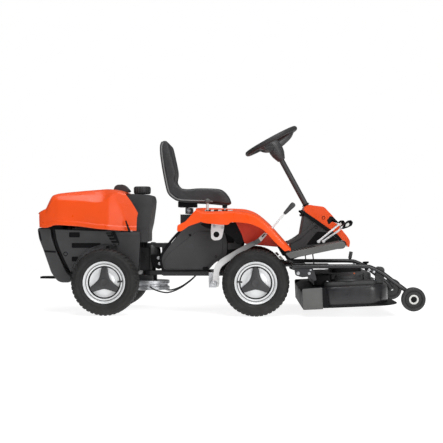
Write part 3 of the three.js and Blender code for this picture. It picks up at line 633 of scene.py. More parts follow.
def hood_bend(x, y, z):
    """Rounds the hood's tail as seen from above and bevels its front corners to the slanting crease."""
    tail = max(0.0, 1 - (x - HOOD_STATIONS[0][0]) / 130)
    bulge = HOOD_TAIL_BULGE * tail ** 1.5 * (1 - min(1.0, abs(y) / 240) ** 3)
    crease_x = -651 + (722 - z) * 0.397
    bevel_x = -677 + max(0.0, z - 640) * 0.28
    turned = 0.30 * max(0.0, min(x, crease_x) - bevel_x) + 0.08 * max(0.0, x - crease_x)
    turned = min(turned, 0.5 * abs(y)) if abs(y) > 150 else 0.0
    return x - bulge, y - math.copysign(turned, y), z


def hood_cheek(side):
    """The side of the hood ahead of its roof, down to the slanting front edge."""
    column = hood_section(*HOOD_STATIONS[-1])[:37]
    start = HOOD_STATIONS[-1][0]
    rows = []
    for step in range(CHEEK_STEPS + 1):
        t = step / CHEEK_STEPS
        rows.append([mm(*hood_bend(start + t * (cheek_front(z) - start), side * y, z)) for y, z in column])
    return grid("cheek", rows, ORANGE)


def cheek_front(z):
    """How far forward the cheek reaches at a height."""
    line = sorted(HOOD_CHEEKS, key=lambda p: p[1])
    for (x0, z0), (x1, z1) in zip(line, line[1:]):
        if z0 <= z <= z1:
            return x0 + (x1 - x0) * (z - z0) / max(1e-6, z1 - z0)
    return line[0][0] if z < line[0][1] else line[-1][0]


def weld(obj, distance=0.0004):
    work = bmesh.new()
    work.from_mesh(obj.data)
    bmesh.ops.remove_doubles(work, verts=work.verts, dist=distance)
    bmesh.ops.recalc_face_normals(work, faces=work.faces)
    work.to_mesh(obj.data)
    work.free()
    obj.data.shade_smooth()
    obj.data.set_sharp_from_angle(angle=SHARP_ANGLE)


def make_rear_covers():
    refined("rear_bumper", "rear_unit", DARK, 7.0, 5)
    refined("tow_hitch", "rear_unit", BLACK, 1.2, 2)
    refined("cowl", "rear_unit", DARK, 8.0, 4)
    for word, side in SIDES:
        make_engine_panel(word, side)
        for x, z, radius in ((-924, 347, 10), (-681, 385, 8)):
            # Two black holes in the engine panel: painted shade in the holes.
            settle(shaded_hole(f"panel_hole_shade_{word}_{-x}", x, side * 250.5, z, side, radius), "rear_unit")
        # A thin black patch on the bumper: painted shade in its slot.
        slot_shade_outline = rounded([(-1086, 478), (-1075, 478), (-1064, 424), (-1073, 420)], 3)
        slot = prism(f"bumper_slot_shade_{word}", slot_shade_outline, side * 231, side * 233, BLACK)
        settle(slot, "rear_unit")
        cover = prism(f"skirt_top_{word}", rounded([(-682, 474), (-502, 474), (-500, 452), (-672, 452)], 4),
                      side * 230, side * 234, DARK)
        settle(bevelled(cover, 1.5 * MM), "rear_unit")
    band = prism("bumper_band", rounded([(-1052, 368), (-1047, 357), (-982, 354), (-984, 364)], 2), -233.2,
                 233.2, BLACK)
    settle(band, "rear_unit")
    battery = prism("battery_bay", rounded([(-1062, 474), (-1062, 512), (-960, 528), (-940, 476)], 4), -222,
                    222, BLACK)
    settle(battery, "rear_unit")
    make_fuel_cap()


def shaded_hole(name, x, y, z, side, radius):
    """A hole in a moulding, with its rounded rim, all in black: the black is painted shade in the hole."""
    profile = [(0.1, -0.8), (radius * 0.8, -0.8), (radius, 0.6), (radius * 1.18, 0.6), (radius * 1.3, -0.6),
               (0.1, -1.6)]
    return lathe(name, profile, mm(x, y, z), (0, side, 0), BLACK, 40)


def make_engine_panel(word, side):
    """The louvred side panel with its wheel arch, and a black sheet behind it as painted shade of the engine
    bay showing through.
    """
    arch = []
    for i in range(25):
        angle = math.radians(73 + i * (166 - 73) / 24)
        arch.append((REAR_AXLE_X + ARCH_RADIUS * math.cos(angle),
                     WHEEL_CENTRE_Z + ARCH_RADIUS * math.sin(angle)))
    outline = [(-984, 488), (-662, 476), (-624, 406)] + arch + [(-925, 305), (-957, 375), (-975, 430)]
    panel = prism(f"engine_panel_{word}_skin", outline, side * 244, side * 250, DARK)
    for x0, x1, z0, z1 in PANEL_SLOTS:
        slot = rounded([(x0, z0), (x1, z0), (x1, z1), (x0, z1)], 5)
        cut_out(panel, prism("slot", slot, side * 240, side * 254, DARK))
    vent = prism("vent", rounded([(-694, 471), (-660, 471), (-624, 408), (-648, 396)], 3), side * 240,
                 side * 254, DARK)
    cut_out(panel, vent)
    bevelled(panel, 1.2 * MM, 2)
    settle(panel, "rear_unit", f"engine_panel_{word}")
    # A black sheet just behind the panel: painted shade of the engine bay, seen through the slots and the
    # vent.
    bay_shade = prism(f"engine_bay_shade_{word}", [(-1000, 494), (-640, 476), (-616, 412)] + arch + [(-935, 290),
                                                                                               (-985, 400)],
                   side * 237, side * 240.5, BLACK)
    settle(bay_shade, "rear_unit")
    rungs = []
    for i in range(4):
        x, z = -684 + 14 * i, 462 - 18 * i
        rungs.append(prism("rung", rounded([(x - 14, z - 3), (x + 22, z - 3), (x + 22, z + 2),
                                            (x - 14, z + 2)], 1),
                           side * 241, side * 246, DARK))
    settle(joined(f"vent_rungs_{word}", rungs), "rear_unit")


def cut_out(obj, cutter):
    modifier = modify(obj, "BOOLEAN", object=cutter, operation="DIFFERENCE", solver="EXACT")
    apply_modifier(obj, modifier)
    bpy.data.objects.remove(cutter)


def make_fuel_cap():
    low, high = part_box("fuel_cap")
    centre = Vector(((low.x + high.x) / 2, (low.y + high.y) / 2, low.z))
    rim = (high.x - low.x) / 2 / MM
    tall = (high.z - low.z) / MM
    rows = []
    steps = 120
    profile = [(0.84, 0), (0.97, 0.12), (1.0, 0.3), (1.0, 0.78), (0.94, 0.93), (0.82, 1.0), (0.70, 0.95),
               (0.0, 0.92)]
    for i in range(steps):
        angle = 2 * math.pi * i / steps
        grip = 0.965 + 0.035 * (1 if (i // 3) % 2 else -0.3)
        rows.append([centre + mm(rim * r * (grip if 0.9 < r else 1) * math.cos(angle),
                                 rim * r * (grip if 0.9 < r else 1) * math.sin(angle), tall * z) for r,
                                 z in profile])
    cap = grid("fuel_cap_grip", rows, DARK, closed_columns=True)
    weld(cap)
    settle(cap, "fuel_cap", "fuel_cap")


# ---- Seat ---------------------------------------------------------------------------------------


def pad_shape(name, outline, half, finish):
    """A side outline in mm made solid across y, with broad rounded edges."""
    pad = prism(name, outline, -half, half, finish)
    bevel = modify(pad, "BEVEL", width=PAD_EDGE * MM, segments=6, limit_method="ANGLE",
                   angle_limit=math.radians(50))
    apply_modifier(pad, bevel)
    return pad


def puffed(obj, voxel, cap, pressure=4.0):
    """Swells a closed pad with the cloth solver, keeping every point within cap metres of its start."""
    remesh = modify(obj, "REMESH", mode="VOXEL", voxel_size=voxel, use_smooth_shade=True)
    apply_modifier(obj, remesh)
    start = [v.co.copy() for v in obj.data.vertices]
    cloth = modify(obj, "CLOTH")
    cloth.settings.use_pressure = True
    cloth.settings.uniform_pressure_force = pressure
    cloth.settings.effector_weights.gravity = 0
    cloth.settings.quality = 4
    cloth.collision_settings.use_collision = False
    cloth.point_cache.frame_end = SIM_FRAMES
    scene = bpy.context.scene
    for number in range(1, SIM_FRAMES + 1):
        scene.frame_set(number)
    apply_modifier(obj, cloth)
    scene.frame_set(1)
    for vertex, place in zip(obj.data.vertices, start):
        move = vertex.co - place
        if move.length > cap:
            vertex.co = place + move * (cap / move.length)


def apply_modifier(obj, modifier):
    bpy.ops.object.select_all(action="DESELECT")
    bpy.context.view_layer.objects.active = obj
    obj.select_set(True)
    bpy.ops.object.modifier_apply(modifier=modifier.name)


def relax(obj, times, factor=0.5):
    smooth = modify(obj, "SMOOTH", iterations=times, factor=factor)
    apply_modifier(obj, smooth)


SEAT_OUTLINE = [
    (-358, 1012), (-342, 1002), (-326, 940), (-303, 822), (-309, 768), (-278, 728), (-230, 718),
    (-169, 723), (-60, 720),
    (-22, 712), (6, 694), (26, 662), (18, 637), (-109, 646), (-262, 652), (-288, 667), (-328, 694),
    (-346, 724),
    (-365, 842), (-384, 976), (-376, 1004),
]
SEAT_PAD_HALF = 212
SEAT_BOLSTER = 0.150
SEAT_DISH = 0.014
SEAM_WIDTH = 0.010
SEAM_DEPTH = 0.006
PAD_EDGE = 20
BACK_FLAT_Z = 0.88
BACK_TOP_Z = 1.02
SPRING_TURNS = 4.5
SPRING_STEPS = 90
SPRING_WIRE = 0.0036


def make_seat():
    outline = smooth_line([Vector((x, z, 0)) for x, z in SEAT_OUTLINE], 5, closed=True)
    pad = pad_shape("seat_padding", outline, SEAT_PAD_HALF, VINYL)
    puffed(pad, 0.006, SEAT_SWELL)
    relax(pad, 6)
    shape_seat(pad)
    modify(pad, "SUBSURF", levels=1, render_levels=1)
    pad.data.shade_smooth()
    settle(pad, "seat", "seat_cushion", "seat_backrest")
    make_seat_shell()
    refined("seat_bracket", "seat", BLACK, 2.0)
    make_seat_springs()


def shape_seat(pad):
    """Dishes the seat between its side bolsters, sews in two channels and rounds the outer corners."""
    normals = [vertex.normal.copy() for vertex in pad.data.vertices]
    for vertex, normal in zip(pad.data.vertices, normals):
        place = vertex.co.copy()
        dish = max(0.0, 1 - (place.y / SEAT_BOLSTER) ** 2)
        facing = max(0.0, normal.z if place.x > -0.24 else normal.x)
        off = min(abs(abs(place.y) - SEAT_BOLSTER * 0.94), SEAM_WIDTH)
        seam = SEAM_DEPTH * (0.5 + 0.5 * math.cos(math.pi * off / SEAM_WIDTH))
        place -= normal * (facing * (SEAT_DISH * dish + seam))
        place.y *= seat_half(place.x / MM, place.z / MM) / SEAT_PAD_HALF
        vertex.co = place


def seat_half(x, z):
    """Half the seat's width at a point of its side outline, in mm."""
    rise = min(1.0, max(0.0, (z - BACK_FLAT_Z) / (BACK_TOP_Z - BACK_FLAT_Z)))
    front = min(1.0, max(0.0, (x + 50) / 90)) if z < 800 else 0.0
    return SEAT_PAD_HALF * (1 - 0.28 * rise ** 2.2) * (1 - 0.12 * front ** 2)


def make_seat_shell():
    line = [(-10, 634), (-60, 638), (-109, 645), (-200, 648), (-280, 654), (-318, 674), (-341, 698),
            (-353, 732), (-370, 815), (-383, 895), (-388, 940), (-388, 975), (-384, 992), (-377, 1003)]
    path = smooth_line([Vector((x, z, 0)) for x, z in line], 4)
    rows = []
    for point in path:
        half = seat_half(point.x, point.y) - 8
        rows.append([mm(point.x, t * half, point.y) for t in (-1, -0.97, -0.9, -0.7, -0.4, 0, 0.4, 0.7, 0.9,
                                                              0.97, 1)])
    back = grid("seat_pan", rows, DARK)
    modify(back, "SOLIDIFY", thickness=4 * MM, offset=0)
    bevelled(back, 1.2 * MM, 2)
    settle(back, "seat", "seat_shell")
    for word, side in SIDES:
        edge = []
        for i, point in enumerate(path[6:]):
            ahead = path[min(len(path) - 1, i + 7)] - path[i + 5]
            inward = Vector((ahead.y, -ahead.x)).normalized() * 9
            edge.append(mm(point.x + inward.x, side * (seat_half(point.x, point.y) - 7),
                           point.y + inward.y))
        # The welt's pale grey is a painted highlight along the seat's edge.
        settle(tube(f"seat_welt_{word}", edge, 0.0045, PIPING_HIGHLIGHT, 12), "seat")


def make_seat_springs():
    for word, _ in SIDES:
        low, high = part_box(f"seat_spring_{word}")
        centre = (low + high) / 2
        radius = (high.x - low.x) / 2 - SPRING_WIRE
        rise = high.z - low.z - 2 * SPRING_WIRE
        coil = []
        for i in range(SPRING_STEPS + 1):
            t = i / SPRING_STEPS
            angle = 2 * math.pi * SPRING_TURNS * t
            coil.append(Vector((centre.x + radius * math.cos(angle), centre.y + radius * math.sin(angle),
                                low.z + SPRING_WIRE + rise * t)))
        spring = tube(f"seat_coil_{word}", coil, SPRING_WIRE, BARE, 10)
        settle(spring, "chassis", f"seat_spring_{word}")


# ---- Front shells -------------------------------------------------------------------------------

# Fender stations: edge x and z, lip x and z, crown z.
FENDER_STATIONS = [
    (-165, 600, -150, 545, 612), (-109, 584, -118, 527, 613), (16, 586, 2, 516, 609),
    (60, 586, 34, 530, 608),
    (118, 579, 98, 527, 603), (178, 560, 150, 517, 580), (247, 504, 212, 487, 524),
    (317, 427, 275, 421, 448),
    (366, 376, 331, 368, 391),
]
LEVER_SLOT = ((74, 296), (-357, -323))


def make_fender():
    edges = smooth_line([Vector(s[:2] + (0,)) for s in FENDER_STATIONS], 6)
    lips = smooth_line([Vector(s[2:4] + (0,)) for s in FENDER_STATIONS], 6)
    crowns = smooth_line([Vector((s[4], 0, 0)) for s in FENDER_STATIONS], 6)
    rows = []
    for edge, lip, crown in zip(edges, lips, crowns):
        half = fender_section(edge, lip, crown.x)
        rows.append([mm(x, -y, z) for x, y, z in half] + [mm(x, y, z) for x, y, z in reversed(half[:-1])])
    top = grid("fender_top", rows, ORANGE)
    cut_lever_slot(top)
    modify(top, "SOLIDIFY", thickness=4.5 * MM, offset=-1.0)
    bevelled(top, 1.5 * MM, 2)
    settle(top, "chassis", "fender")
    arch = rounded([(30, 599), (60, 598), (150, 582), (210, 544), (255, 508), (310, 447), (342, 410),
                    (350, 396), (294, 388), (107, 406), (89, 464), (56, 530)], 10)
    strip = rounded([(-146, 588), (-166, 598), (-224, 533), (-268, 513), (-270, 479), (-246, 479),
                     (-205, 508), (-124, 536)], 8)
    # A thin black sheet under the fender, between the side panel and the arch wall: painted shade where the
    # fender overhangs.
    shade_outline = rounded([(-150, 520), (-118, 526), (-60, 521), (60, 529), (88, 470), (104, 408), (60, 404),
                      (40, 440), (-10, 470), (-120, 500)], 12)
    for word, side in SIDES:
        # The arch wall's darker orange is painted shade inside the arch.
        wall = prism(f"arch_wall_{word}", arch, side * 266, side * 271, ARCH_SHADE_ORANGE)
        settle(bevelled(wall, 1.2 * MM, 2), "chassis")
        leg = prism(f"fender_leg_{word}", strip, side * 425, side * 429.4, ORANGE)
        settle(bevelled(leg, 1.6 * MM, 3), "chassis")
        shade = prism(f"fender_shade_{word}", shade_outline, side * 262, side * 265.5, BLACK)
        settle(bevelled(shade, 1.0 * MM, 2), "chassis")
    make_bracket_plate()


def fender_section(edge, lip, crown):
    """Half a cross-section in mm: the side lip, the flat shelf for the levers and the raised middle."""
    drop = edge.y - lip.y
    shelf = edge.y + 9
    points = [(lip.x, 425.0, lip.y - 1), (lip.x, 429.4, lip.y),
              (lip.x + 0.1 * (edge.x - lip.x), 429.5, lip.y + 0.12 * drop),
              (lip.x + 0.7 * (edge.x - lip.x), 429, lip.y + 0.72 * drop), (edge.x, 425, edge.y - 4),
              (edge.x, 415, edge.y + 4), (edge.x, 398, edge.y + 8)]
    points += [(edge.x, y, shelf) for y in (357, 340, 323, 304)]
    points += [(edge.x, y, shelf + rise * (crown - shelf)) for y,
               rise in ((292, 0.06), (280, 0.30), (264, 0.78), (252, 0.95))]
    return points + [(edge.x, y, crown) for y in (236, 120, 0)]


def cut_lever_slot(top):
    (x0, x1), (y0, y1) = LEVER_SLOT
    work = bmesh.new()
    work.from_mesh(top.data)
    gone = [f for f in work.faces
            if x0 * MM < f.calc_center_median().x < x1 * MM and y0 * MM < f.calc_center_median().y < y1 * MM
            and f.normal.z > 0.2]
    bmesh.ops.delete(work, geom=gone, context="FACES")
    work.to_mesh(top.data)
    work.free()


def make_bracket_plate():
    outline = rounded([(-82, 523), (-8, 519), (-13, 480), (-22, 440), (-36, 428), (-70, 426), (-84, 438),
                       (-86, 480)], 9)
    for word, side in SIDES:
        plate = prism(f"slotted_bracket_{word}", outline, side * 291, side * 296, RIM)
        hole = lathe("hole", [(0.1, -8), (16.6, -8), (16.6, 8), (0.1, 8)], mm(-54, side * 293, 460),
                     (0, side, 0), RIM, 48)
        cut_out(plate, hole)
        settle(bevelled(plate, 1.0 * MM, 2), "chassis")
        # A black disc behind the bracket's hole: painted shade seen through the hole.
        hole_backing_shade = lathe(f"bracket_hole_shade_{word}", [(0.1, 0), (30, 0), (28, 3), (0.1, 3)],
                        mm(-54, side * 285, 460), (0, side, 0), BLACK, 40)
        settle(hole_backing_shade, "chassis")
        for x, z in ((-67, 508), (-20, 500)):
            settle(bolt(f"bracket_bolt_{word}_{-x}", mm(x, side * 296, z), (0, side, 0), 6.5, BARE),
                   "chassis")


def make_panels():
    raised_part = rounded([(-366, 300), (-356, 262), (-120, 262), (-78, 300), (-24, 338), (-20, 420),
                           (-44, 478), (-171, 474), (-238, 426), (-338, 345)], 18)
    rail = [(-262, 486), (-318, 424), (-360, 366), (-378, 334), (-381, 306), (-368, 254), (-350, 247),
            (-118, 247)]
    for word, side in SIDES:
        refined(f"side_panel_{word}", "chassis", DARK, 2.5)
        emboss = prism(f"panel_emboss_{word}", raised_part, side * 189, side * 193.5, DARK)
        settle(bevelled(emboss, 2.2 * MM, 4), "chassis")
        edge = smooth_line([mm(x, side * 189, z) for x, z in rail], 6)
        settle(tube(f"panel_rail_{word}", edge, 0.0075, BLACK, 16), "chassis")
        # A black patch on the side panel: painted shade in its notch.
        notch = prism(f"panel_notch_shade_{word}", rounded([(-136, 246), (-105, 246), (-105, 270), (-136, 270)],
                                                     3), side * 192,
                      side * 195.5, BLACK)
        settle(bevelled(notch, 1 * MM), "chassis")
        for x, z in ((-210, 455), (-60, 330)):
            # Black screw holes: painted shade in the holes.
            settle(shaded_hole(f"panel_screw_shade_{word}_{-x}", x, side * 194, z, side, 5), "chassis")
    make_pivot_cover()


def make_pivot_cover():
    """The rounded cover over the joint that the machine bends on, open at the back for the rear frame."""
    profile = [(50, 312), (56, 316), (57, 340), (55, 362), (51, 380), (44, 394), (34, 403), (20, 408)]
    rows = []
    for i in range(PIVOT_STEPS + 1):
        angle = math.radians(-PIVOT_OPEN + 2 * PIVOT_OPEN * i / PIVOT_STEPS)
        rows.append([mm(PIVOT_X + r * math.cos(angle), r * math.sin(angle), z) for r, z in profile])
    cover = grid("pivot_cover", rows, DARK)
    modify(cover, "SOLIDIFY", thickness=3 * MM, offset=1.0)
    bevelled(cover, 1 * MM, 2)
    settle(cover, "chassis")


def make_chassis_fillers():
    """The dark inner parts between the side panels, the wheel arches and the footplates."""
    inner = rounded([(-60, 250), (-44, 330), (-44, 520), (70, 526), (92, 470), (108, 404), (96, 380),
                     (40, 330), (10, 250)], 8)
    block = rounded([(9, 370), (9, 409), (44, 411), (60, 438), (76, 438), (90, 404), (92, 380)], 5)
    wedge = rounded([(300, 396), (346, 318), (364, 314), (418, 334), (418, 352), (350, 352)], 4)
    tab = rounded([(297, 336), (311, 341), (327, 322), (315, 316)], 2)
    bench = rounded([(-452, 300), (-452, 338), (-372, 338), (-372, 262), (-404, 250), (-430, 262)], 6)
    for word, side in SIDES:
        for name, outline, low, high, finish in (("inner_wall", inner, 176, 181, BLACK),
                                                 ("motor_block", block, 181, 196, DARK),
                                                 ("step_stay", wedge, 336, 342, BLACK),
                                                 ("step_tab", tab, 342, 345, STRIPE),
                                                 ("pivot_bench", bench, 60, 66, BLACK)):
            piece = prism(f"{name}_{word}", outline, side * low, side * high, finish)
            settle(bevelled(piece, 1.2 * MM, 2), "chassis")
        for x, z in ((-405, 318), (-398, 284)):
            settle(bolt(f"bench_bolt_{word}_{z}", mm(x, side * 66, z), (0, side, 0), 7.0, BARE), "chassis")


PIVOT_X = -456
PIVOT_OPEN = 85
PIVOT_STEPS = 46
FOOT_RISE = math.tan(math.radians(11.45))
TREAD_RIBS = 9
TREAD_PITCH = 15.6


def make_footplates():
    for word, side in SIDES:
        refined(f"footplate_{word}", "chassis", GREY, 3.5, 4)
        ribs = []
        for i in range(TREAD_RIBS):
            x = 372 + i * TREAD_PITCH
            z = 357 + (x - 333) * FOOT_RISE
            outline = [(x, z - 1), (x + 8, z - 1 + 8 * FOOT_RISE), (x + 7, z + 3 + 7 * FOOT_RISE),
                       (x + 1, z + 3 + FOOT_RISE)]
            for start, stop in ((176, 268), (286, 404)):
                ribs.append(prism("rib", outline, side * start, side * stop, BLACK))
        tread = bevelled(joined(f"foot_tread_{word}", ribs), 0.8 * MM, 2)
        settle(tread, "chassis")


def make_console():
    refined("console", "chassis", DARK, 6.0, 4)
    refined("front_cover", "chassis", ORANGE, 11.0, 6)
    rib = rounded([(352, 398), (382, 404), (436, 432), (472, 466), (536, 524), (524, 538), (458, 480),
                   (424, 450), (378, 420), (352, 414)], 8)
    trim = rounded([(434, 597), (443, 605), (466, 588), (520, 552), (612, 488), (656, 456), (684, 424),
                    (672, 424), (646, 446), (600, 474), (504, 540), (450, 580)], 4)
    # A thin black sheet on each side of the console: painted shade in the hollow below the cover.
    pocket = rounded([(536, 476), (600, 470), (640, 440), (664, 424), (560, 404), (470, 396)], 10)
    for word, side in SIDES:
        settle(bevelled(prism(f"console_rib_{word}", rib, side * 109.5, side * 116, DARK), 2.4 * MM, 4),
               "chassis")
        settle(bevelled(prism(f"console_trim_{word}", trim, side * 100, side * 121, BLACK), 2 * MM, 3),
               "chassis")
        settle(bevelled(prism(f"console_pocket_shade_{word}", pocket, side * 109.5, side * 111.5, BLACK), 1 * MM),
               "chassis")
        # Black screw holes in the cover and the console: painted shade in the holes.
        settle(shaded_hole(f"cover_screw_shade_{word}", 572, side * 118.5, 556, side, 8), "chassis")
        settle(shaded_hole(f"console_screw_shade_{word}", 528, side * 110.5, 500, side, 7), "chassis")
    clip = prism("cover_clip", rounded([(440, 578), (444, 564), (456, 566), (454, 580)], 3), -112, 112,
                 BLACK)
    settle(bevelled(clip, 2 * MM), "chassis")
    ring = lathe("column_ring", [(17.5, 2), (24, 2), (23, 6), (19, 9), (17.5, 9)], COLUMN_FOOT, STEER_AXIS,
                 BLACK, 48)
    settle(ring, "chassis")


# ---- Steering wheel and hand controls ---------------------------------------------------------------

STEER_LEAN = math.radians(28.5)
STEER_AXIS = Vector((-math.sin(STEER_LEAN), 0, math.cos(STEER_LEAN)))
COLUMN_FOOT = mm(476, 0, 630)
RING_ALONG = 0.439
HUB_ALONG = 0.322
RING_RADIUS = 0.160
RING_THICKNESS = 0.0148  # radius of the ring's own section
RING_STEPS = 120
RING_SECTION = 18
GRIP_NOTCHES = 40
GRIP_DEPTH = 0.0008
GRIP_TURN = 2.6  # where on the ring's section the finger notches lie, in radians


def make_steering():
    column = lathe("column_tube", [(0.1, -24), (16.5, -24), (16.5, 318), (0.1, 318)], COLUMN_FOOT,
                   STEER_AXIS, DARK, 48)
    settle(column, "chassis", "steering_column")
    centre = COLUMN_FOOT + STEER_AXIS * RING_ALONG
    across = Vector((0, 1, 0))
    forward = STEER_AXIS.cross(across).normalized() * -1
    rows = []
    for i in range(RING_STEPS):
        angle = 2 * math.pi * i / RING_STEPS
        out = math.cos(angle) * forward + math.sin(angle) * across
        row = []
        for k in range(RING_SECTION):
            turn = 2 * math.pi * k / RING_SECTION
            gripped = abs(math.cos(turn + GRIP_TURN)) > 0.8
            notch = GRIP_DEPTH * max(0.0, math.cos(angle * GRIP_NOTCHES)) if gripped else 0.0
            reach = RING_THICKNESS - notch
            row.append(centre + out * (RING_RADIUS + reach * math.cos(turn))
                       + STEER_AXIS * reach * math.sin(turn))
        rows.append(row)
    ring = grid("ring", rows, RUBBER, closed_rows=True, closed_columns=True)
    hub = lathe("hub", [(0.2, -14), (20, -14), (24, -11), (31, 6), (39, 26), (43, 48), (44, 70), (42, 90),
                        (37, 102),
                        (28, 110), (12, 113.5), (0.2, 114)], COLUMN_FOOT + STEER_AXIS * HUB_ALONG,
                        STEER_AXIS, DARK, 64)
    spokes = []
    for i in range(3):
        angle = math.pi / 2 + 2 * math.pi * i / 3
        out = math.cos(angle) * across + math.sin(angle) * forward
        spot = lambda r, along: COLUMN_FOOT + STEER_AXIS * along + out * r
        line = smooth_line([spot(0.026, 0.396), spot(0.070, 0.402), spot(0.115, 0.412), spot(0.150, 0.434)],
                           6)
        spokes.append(spoke_blade(line, STEER_AXIS.cross(out)))
    settle(joined("steering_wheel_grip", [ring, hub, *spokes]), "steering_wheel", "steering_wheel")


def spoke_blade(line, wide):
    """One deep spoke of the steering wheel, thinner and narrower towards the ring."""
    rows = []
    for i, point in enumerate(line):
        t = i / (len(line) - 1)
        half = 0.019 - 0.008 * math.sin(math.pi * t)
        deep = 0.020 - 0.012 * t
        rows.append([point + wide * half * math.cos(a) + STEER_AXIS * deep * math.sin(a)
                     for a in (2 * math.pi * k / 16 for k in range(16))])
    return grid("spoke", rows, DARK, closed_rows=True, capped=True)


LEVER_Y = -340
HANDLE_STEPS = 40
# The sloping plate under the hand levers: name, x from and to, finish, how far it stands up. The black strips
# on the plate are painted shade in its lever slots.
GATE_PARTS = (("plate", -118, 40, RIM, 0.0), ("height_slot_shade", -112, -84, BLACK, 0.8),
              ("middle_slot_shade", -66, -42, BLACK, 0.8), ("throttle_slot_shade", -22, 12, BLACK, 0.8))
PEDALS = (("forward", -232, 26), ("brake", 240, 34), ("reverse", -290, 22))  # name, y and half width in mm


def make_lift_lever():
    side_view = [(-72, 166), (-40, 160), (-35, 184), (-37, 245), (-23, 278), (14, 306), (90, 358),
                 (151, 391), (178, 404),
                 (167, 428), (118, 406), (52, 369), (-33, 318), (-61, 284), (-70, 245), (-74, 200)]
    arm = prism("arm", rounded(side_view, 14, 5), LEVER_Y - 5, LEVER_Y + 5, LEVER_PAINT)
    sleeve = prism("sleeve", rounded([(160, 424), (172, 400), (202, 418), (190, 442)], 3), LEVER_Y - 11,
                   LEVER_Y + 11, GREY)
    clevis = prism("clevis", rounded([(186, 441), (199, 419), (233, 458), (220, 472)], 3), LEVER_Y - 12,
                   LEVER_Y + 12, STRIPE)
    # A black strip through the clevis: painted shade in its slot.
    slot = prism("slot", rounded([(203, 449), (208, 444), (224, 460), (219, 465)], 2), LEVER_Y - 12.6,
                 LEVER_Y + 12.6, BLACK)
    rod_line = smooth_line([mm(x, LEVER_Y, z) for x, z in ((222, 457), (250, 482), (290, 528), (334, 580))],
                           6)
    rod = tube("lever_rod", rod_line, 0.0050, RIM, 14)
    boss = lathe("lever_boss", [(9.6, -12), (18, -12), (20, -10), (20, 10), (18, 12), (9.6, 12)],
                 mm(-69, LEVER_Y, 182), (0, 1, 0), BARE, 40)
    lever = joined("lift_lever_arm", [arm, sleeve, clevis, slot, rod, boss])
    settle(bevelled(lever, 1.4 * MM, 2), "lift_lever", "lift_lever")
    start, end = mm(331, LEVER_Y, 576), mm(390, LEVER_Y, 638)
    line = [start.lerp(end, i / HANDLE_STEPS) for i in range(HANDLE_STEPS + 1)]
    settle(tube("lift_lever_handle", line, 0.0150, DARK, 28, handle_width), "lift_lever", "lift_lever_grip")
    refined("lift_bracket", "chassis", BARE, 1.5, 2)
    settle(bolt("lever_nut", mm(-69, -357, 182), (0, -1, 0), 10.0, BARE, 2.8), "chassis")


def handle_width(t):
    """The grip's width along it: slim at the rod, swelling towards a rounded, ribbed end."""
    end = math.sqrt(max(0.0, 1 - max(0.0, (t - 0.86) / 0.14) ** 2))
    start = 0.35 + 0.65 * min(1.0, t / 0.05)
    return max(0.02, (0.60 + 0.40 * min(1.0,
                                  t / 0.75)) * start * end - 0.04 * (math.sin(t * 70) > 0.4) * (t < 0.8))


def make_hand_controls():
    low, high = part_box("height_lever")
    middle = (low + high) / 2
    stem_foot, stem_top = (Vector((middle.x, middle.y, z)) for z in (low.z - 0.018, high.z - 0.016))
    stem = tube("stem", [stem_foot.lerp(stem_top, i / 8) for i in range(9)], 0.0080, STRIPE, 16)
    knob = lathe("knob", [(0.1, -29), (7, -29), (10, -25), (15, -17), (15, -9), (10, -2), (0.1, 0)],
                 Vector((middle.x, middle.y, high.z)), (0, 0, 1), GREY, 40)
    settle(joined("height_lever_knob", [stem, knob]), "height_lever", "height_lever")
    low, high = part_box("throttle_lever")
    middle = (low + high) / 2
    stem = tube("stem", [Vector((middle.x, middle.y, z)) for z in (low.z, high.z - 0.012)], 0.0045, BARE,
                16)
    knob = lathe("knob", [(0.1, -21), (12, -21), (14.5, -18), (14.5, -15), (13, -12), (15, -9), (15, -4),
                          (11, 0), (0.1, 0)],
                 Vector((middle.x, middle.y, high.z - 0.001)), (0, 0, 1), BLACK, 40)
    settle(joined("throttle_knob", [stem, knob]), "throttle_lever", "throttle_lever")
    for name, x0, x1, finish, lift in GATE_PARTS:
        rows = [[mm(x, y, z + lift) for x in (x0, x1)] for y,
                z in ((-372, 588), (-368, 592), (-326, 601), (-320, 596))]
        settle(grid(f"gate_{name}", rows, finish), "chassis")


def make_pedals():
    foot_pad = rounded([(661, 494), (679, 519), (704, 540), (722, 542), (731, 530), (724, 510), (701, 499),
                        (673, 490)], 6)
    inset = rounded([(686, 505), (691, 520), (704, 528), (710, 516), (701, 506)], 2)
    heel_block = rounded([(579, 541), (590, 555), (598, 565), (611, 560), (640, 532), (642, 522),
                          (612, 532), (598, 530), (597, 522), (586, 519), (583, 531)], 4)
    for name, y, half in PEDALS:
        node = f"{name}_pedal"
        refined(node, node, RIM, 1.0, 2)
        outline = heel_block if name == "reverse" else foot_pad
        settle(bevelled(prism(f"{name}_pedal_pad", outline, y - half, y + half, BLACK), 2 * MM, 3), node)
        if name != "reverse":
            settle(prism(f"{name}_pedal_insert", inset, y - half - 0.6, y + half + 0.6, STRIPE), node)


# ---- Lift frame and cutting deck ----------------------------------------------------------------------


RAIL_Y = 395
RAIL_Z = 282
RAIL_RADIUS = 0.0123


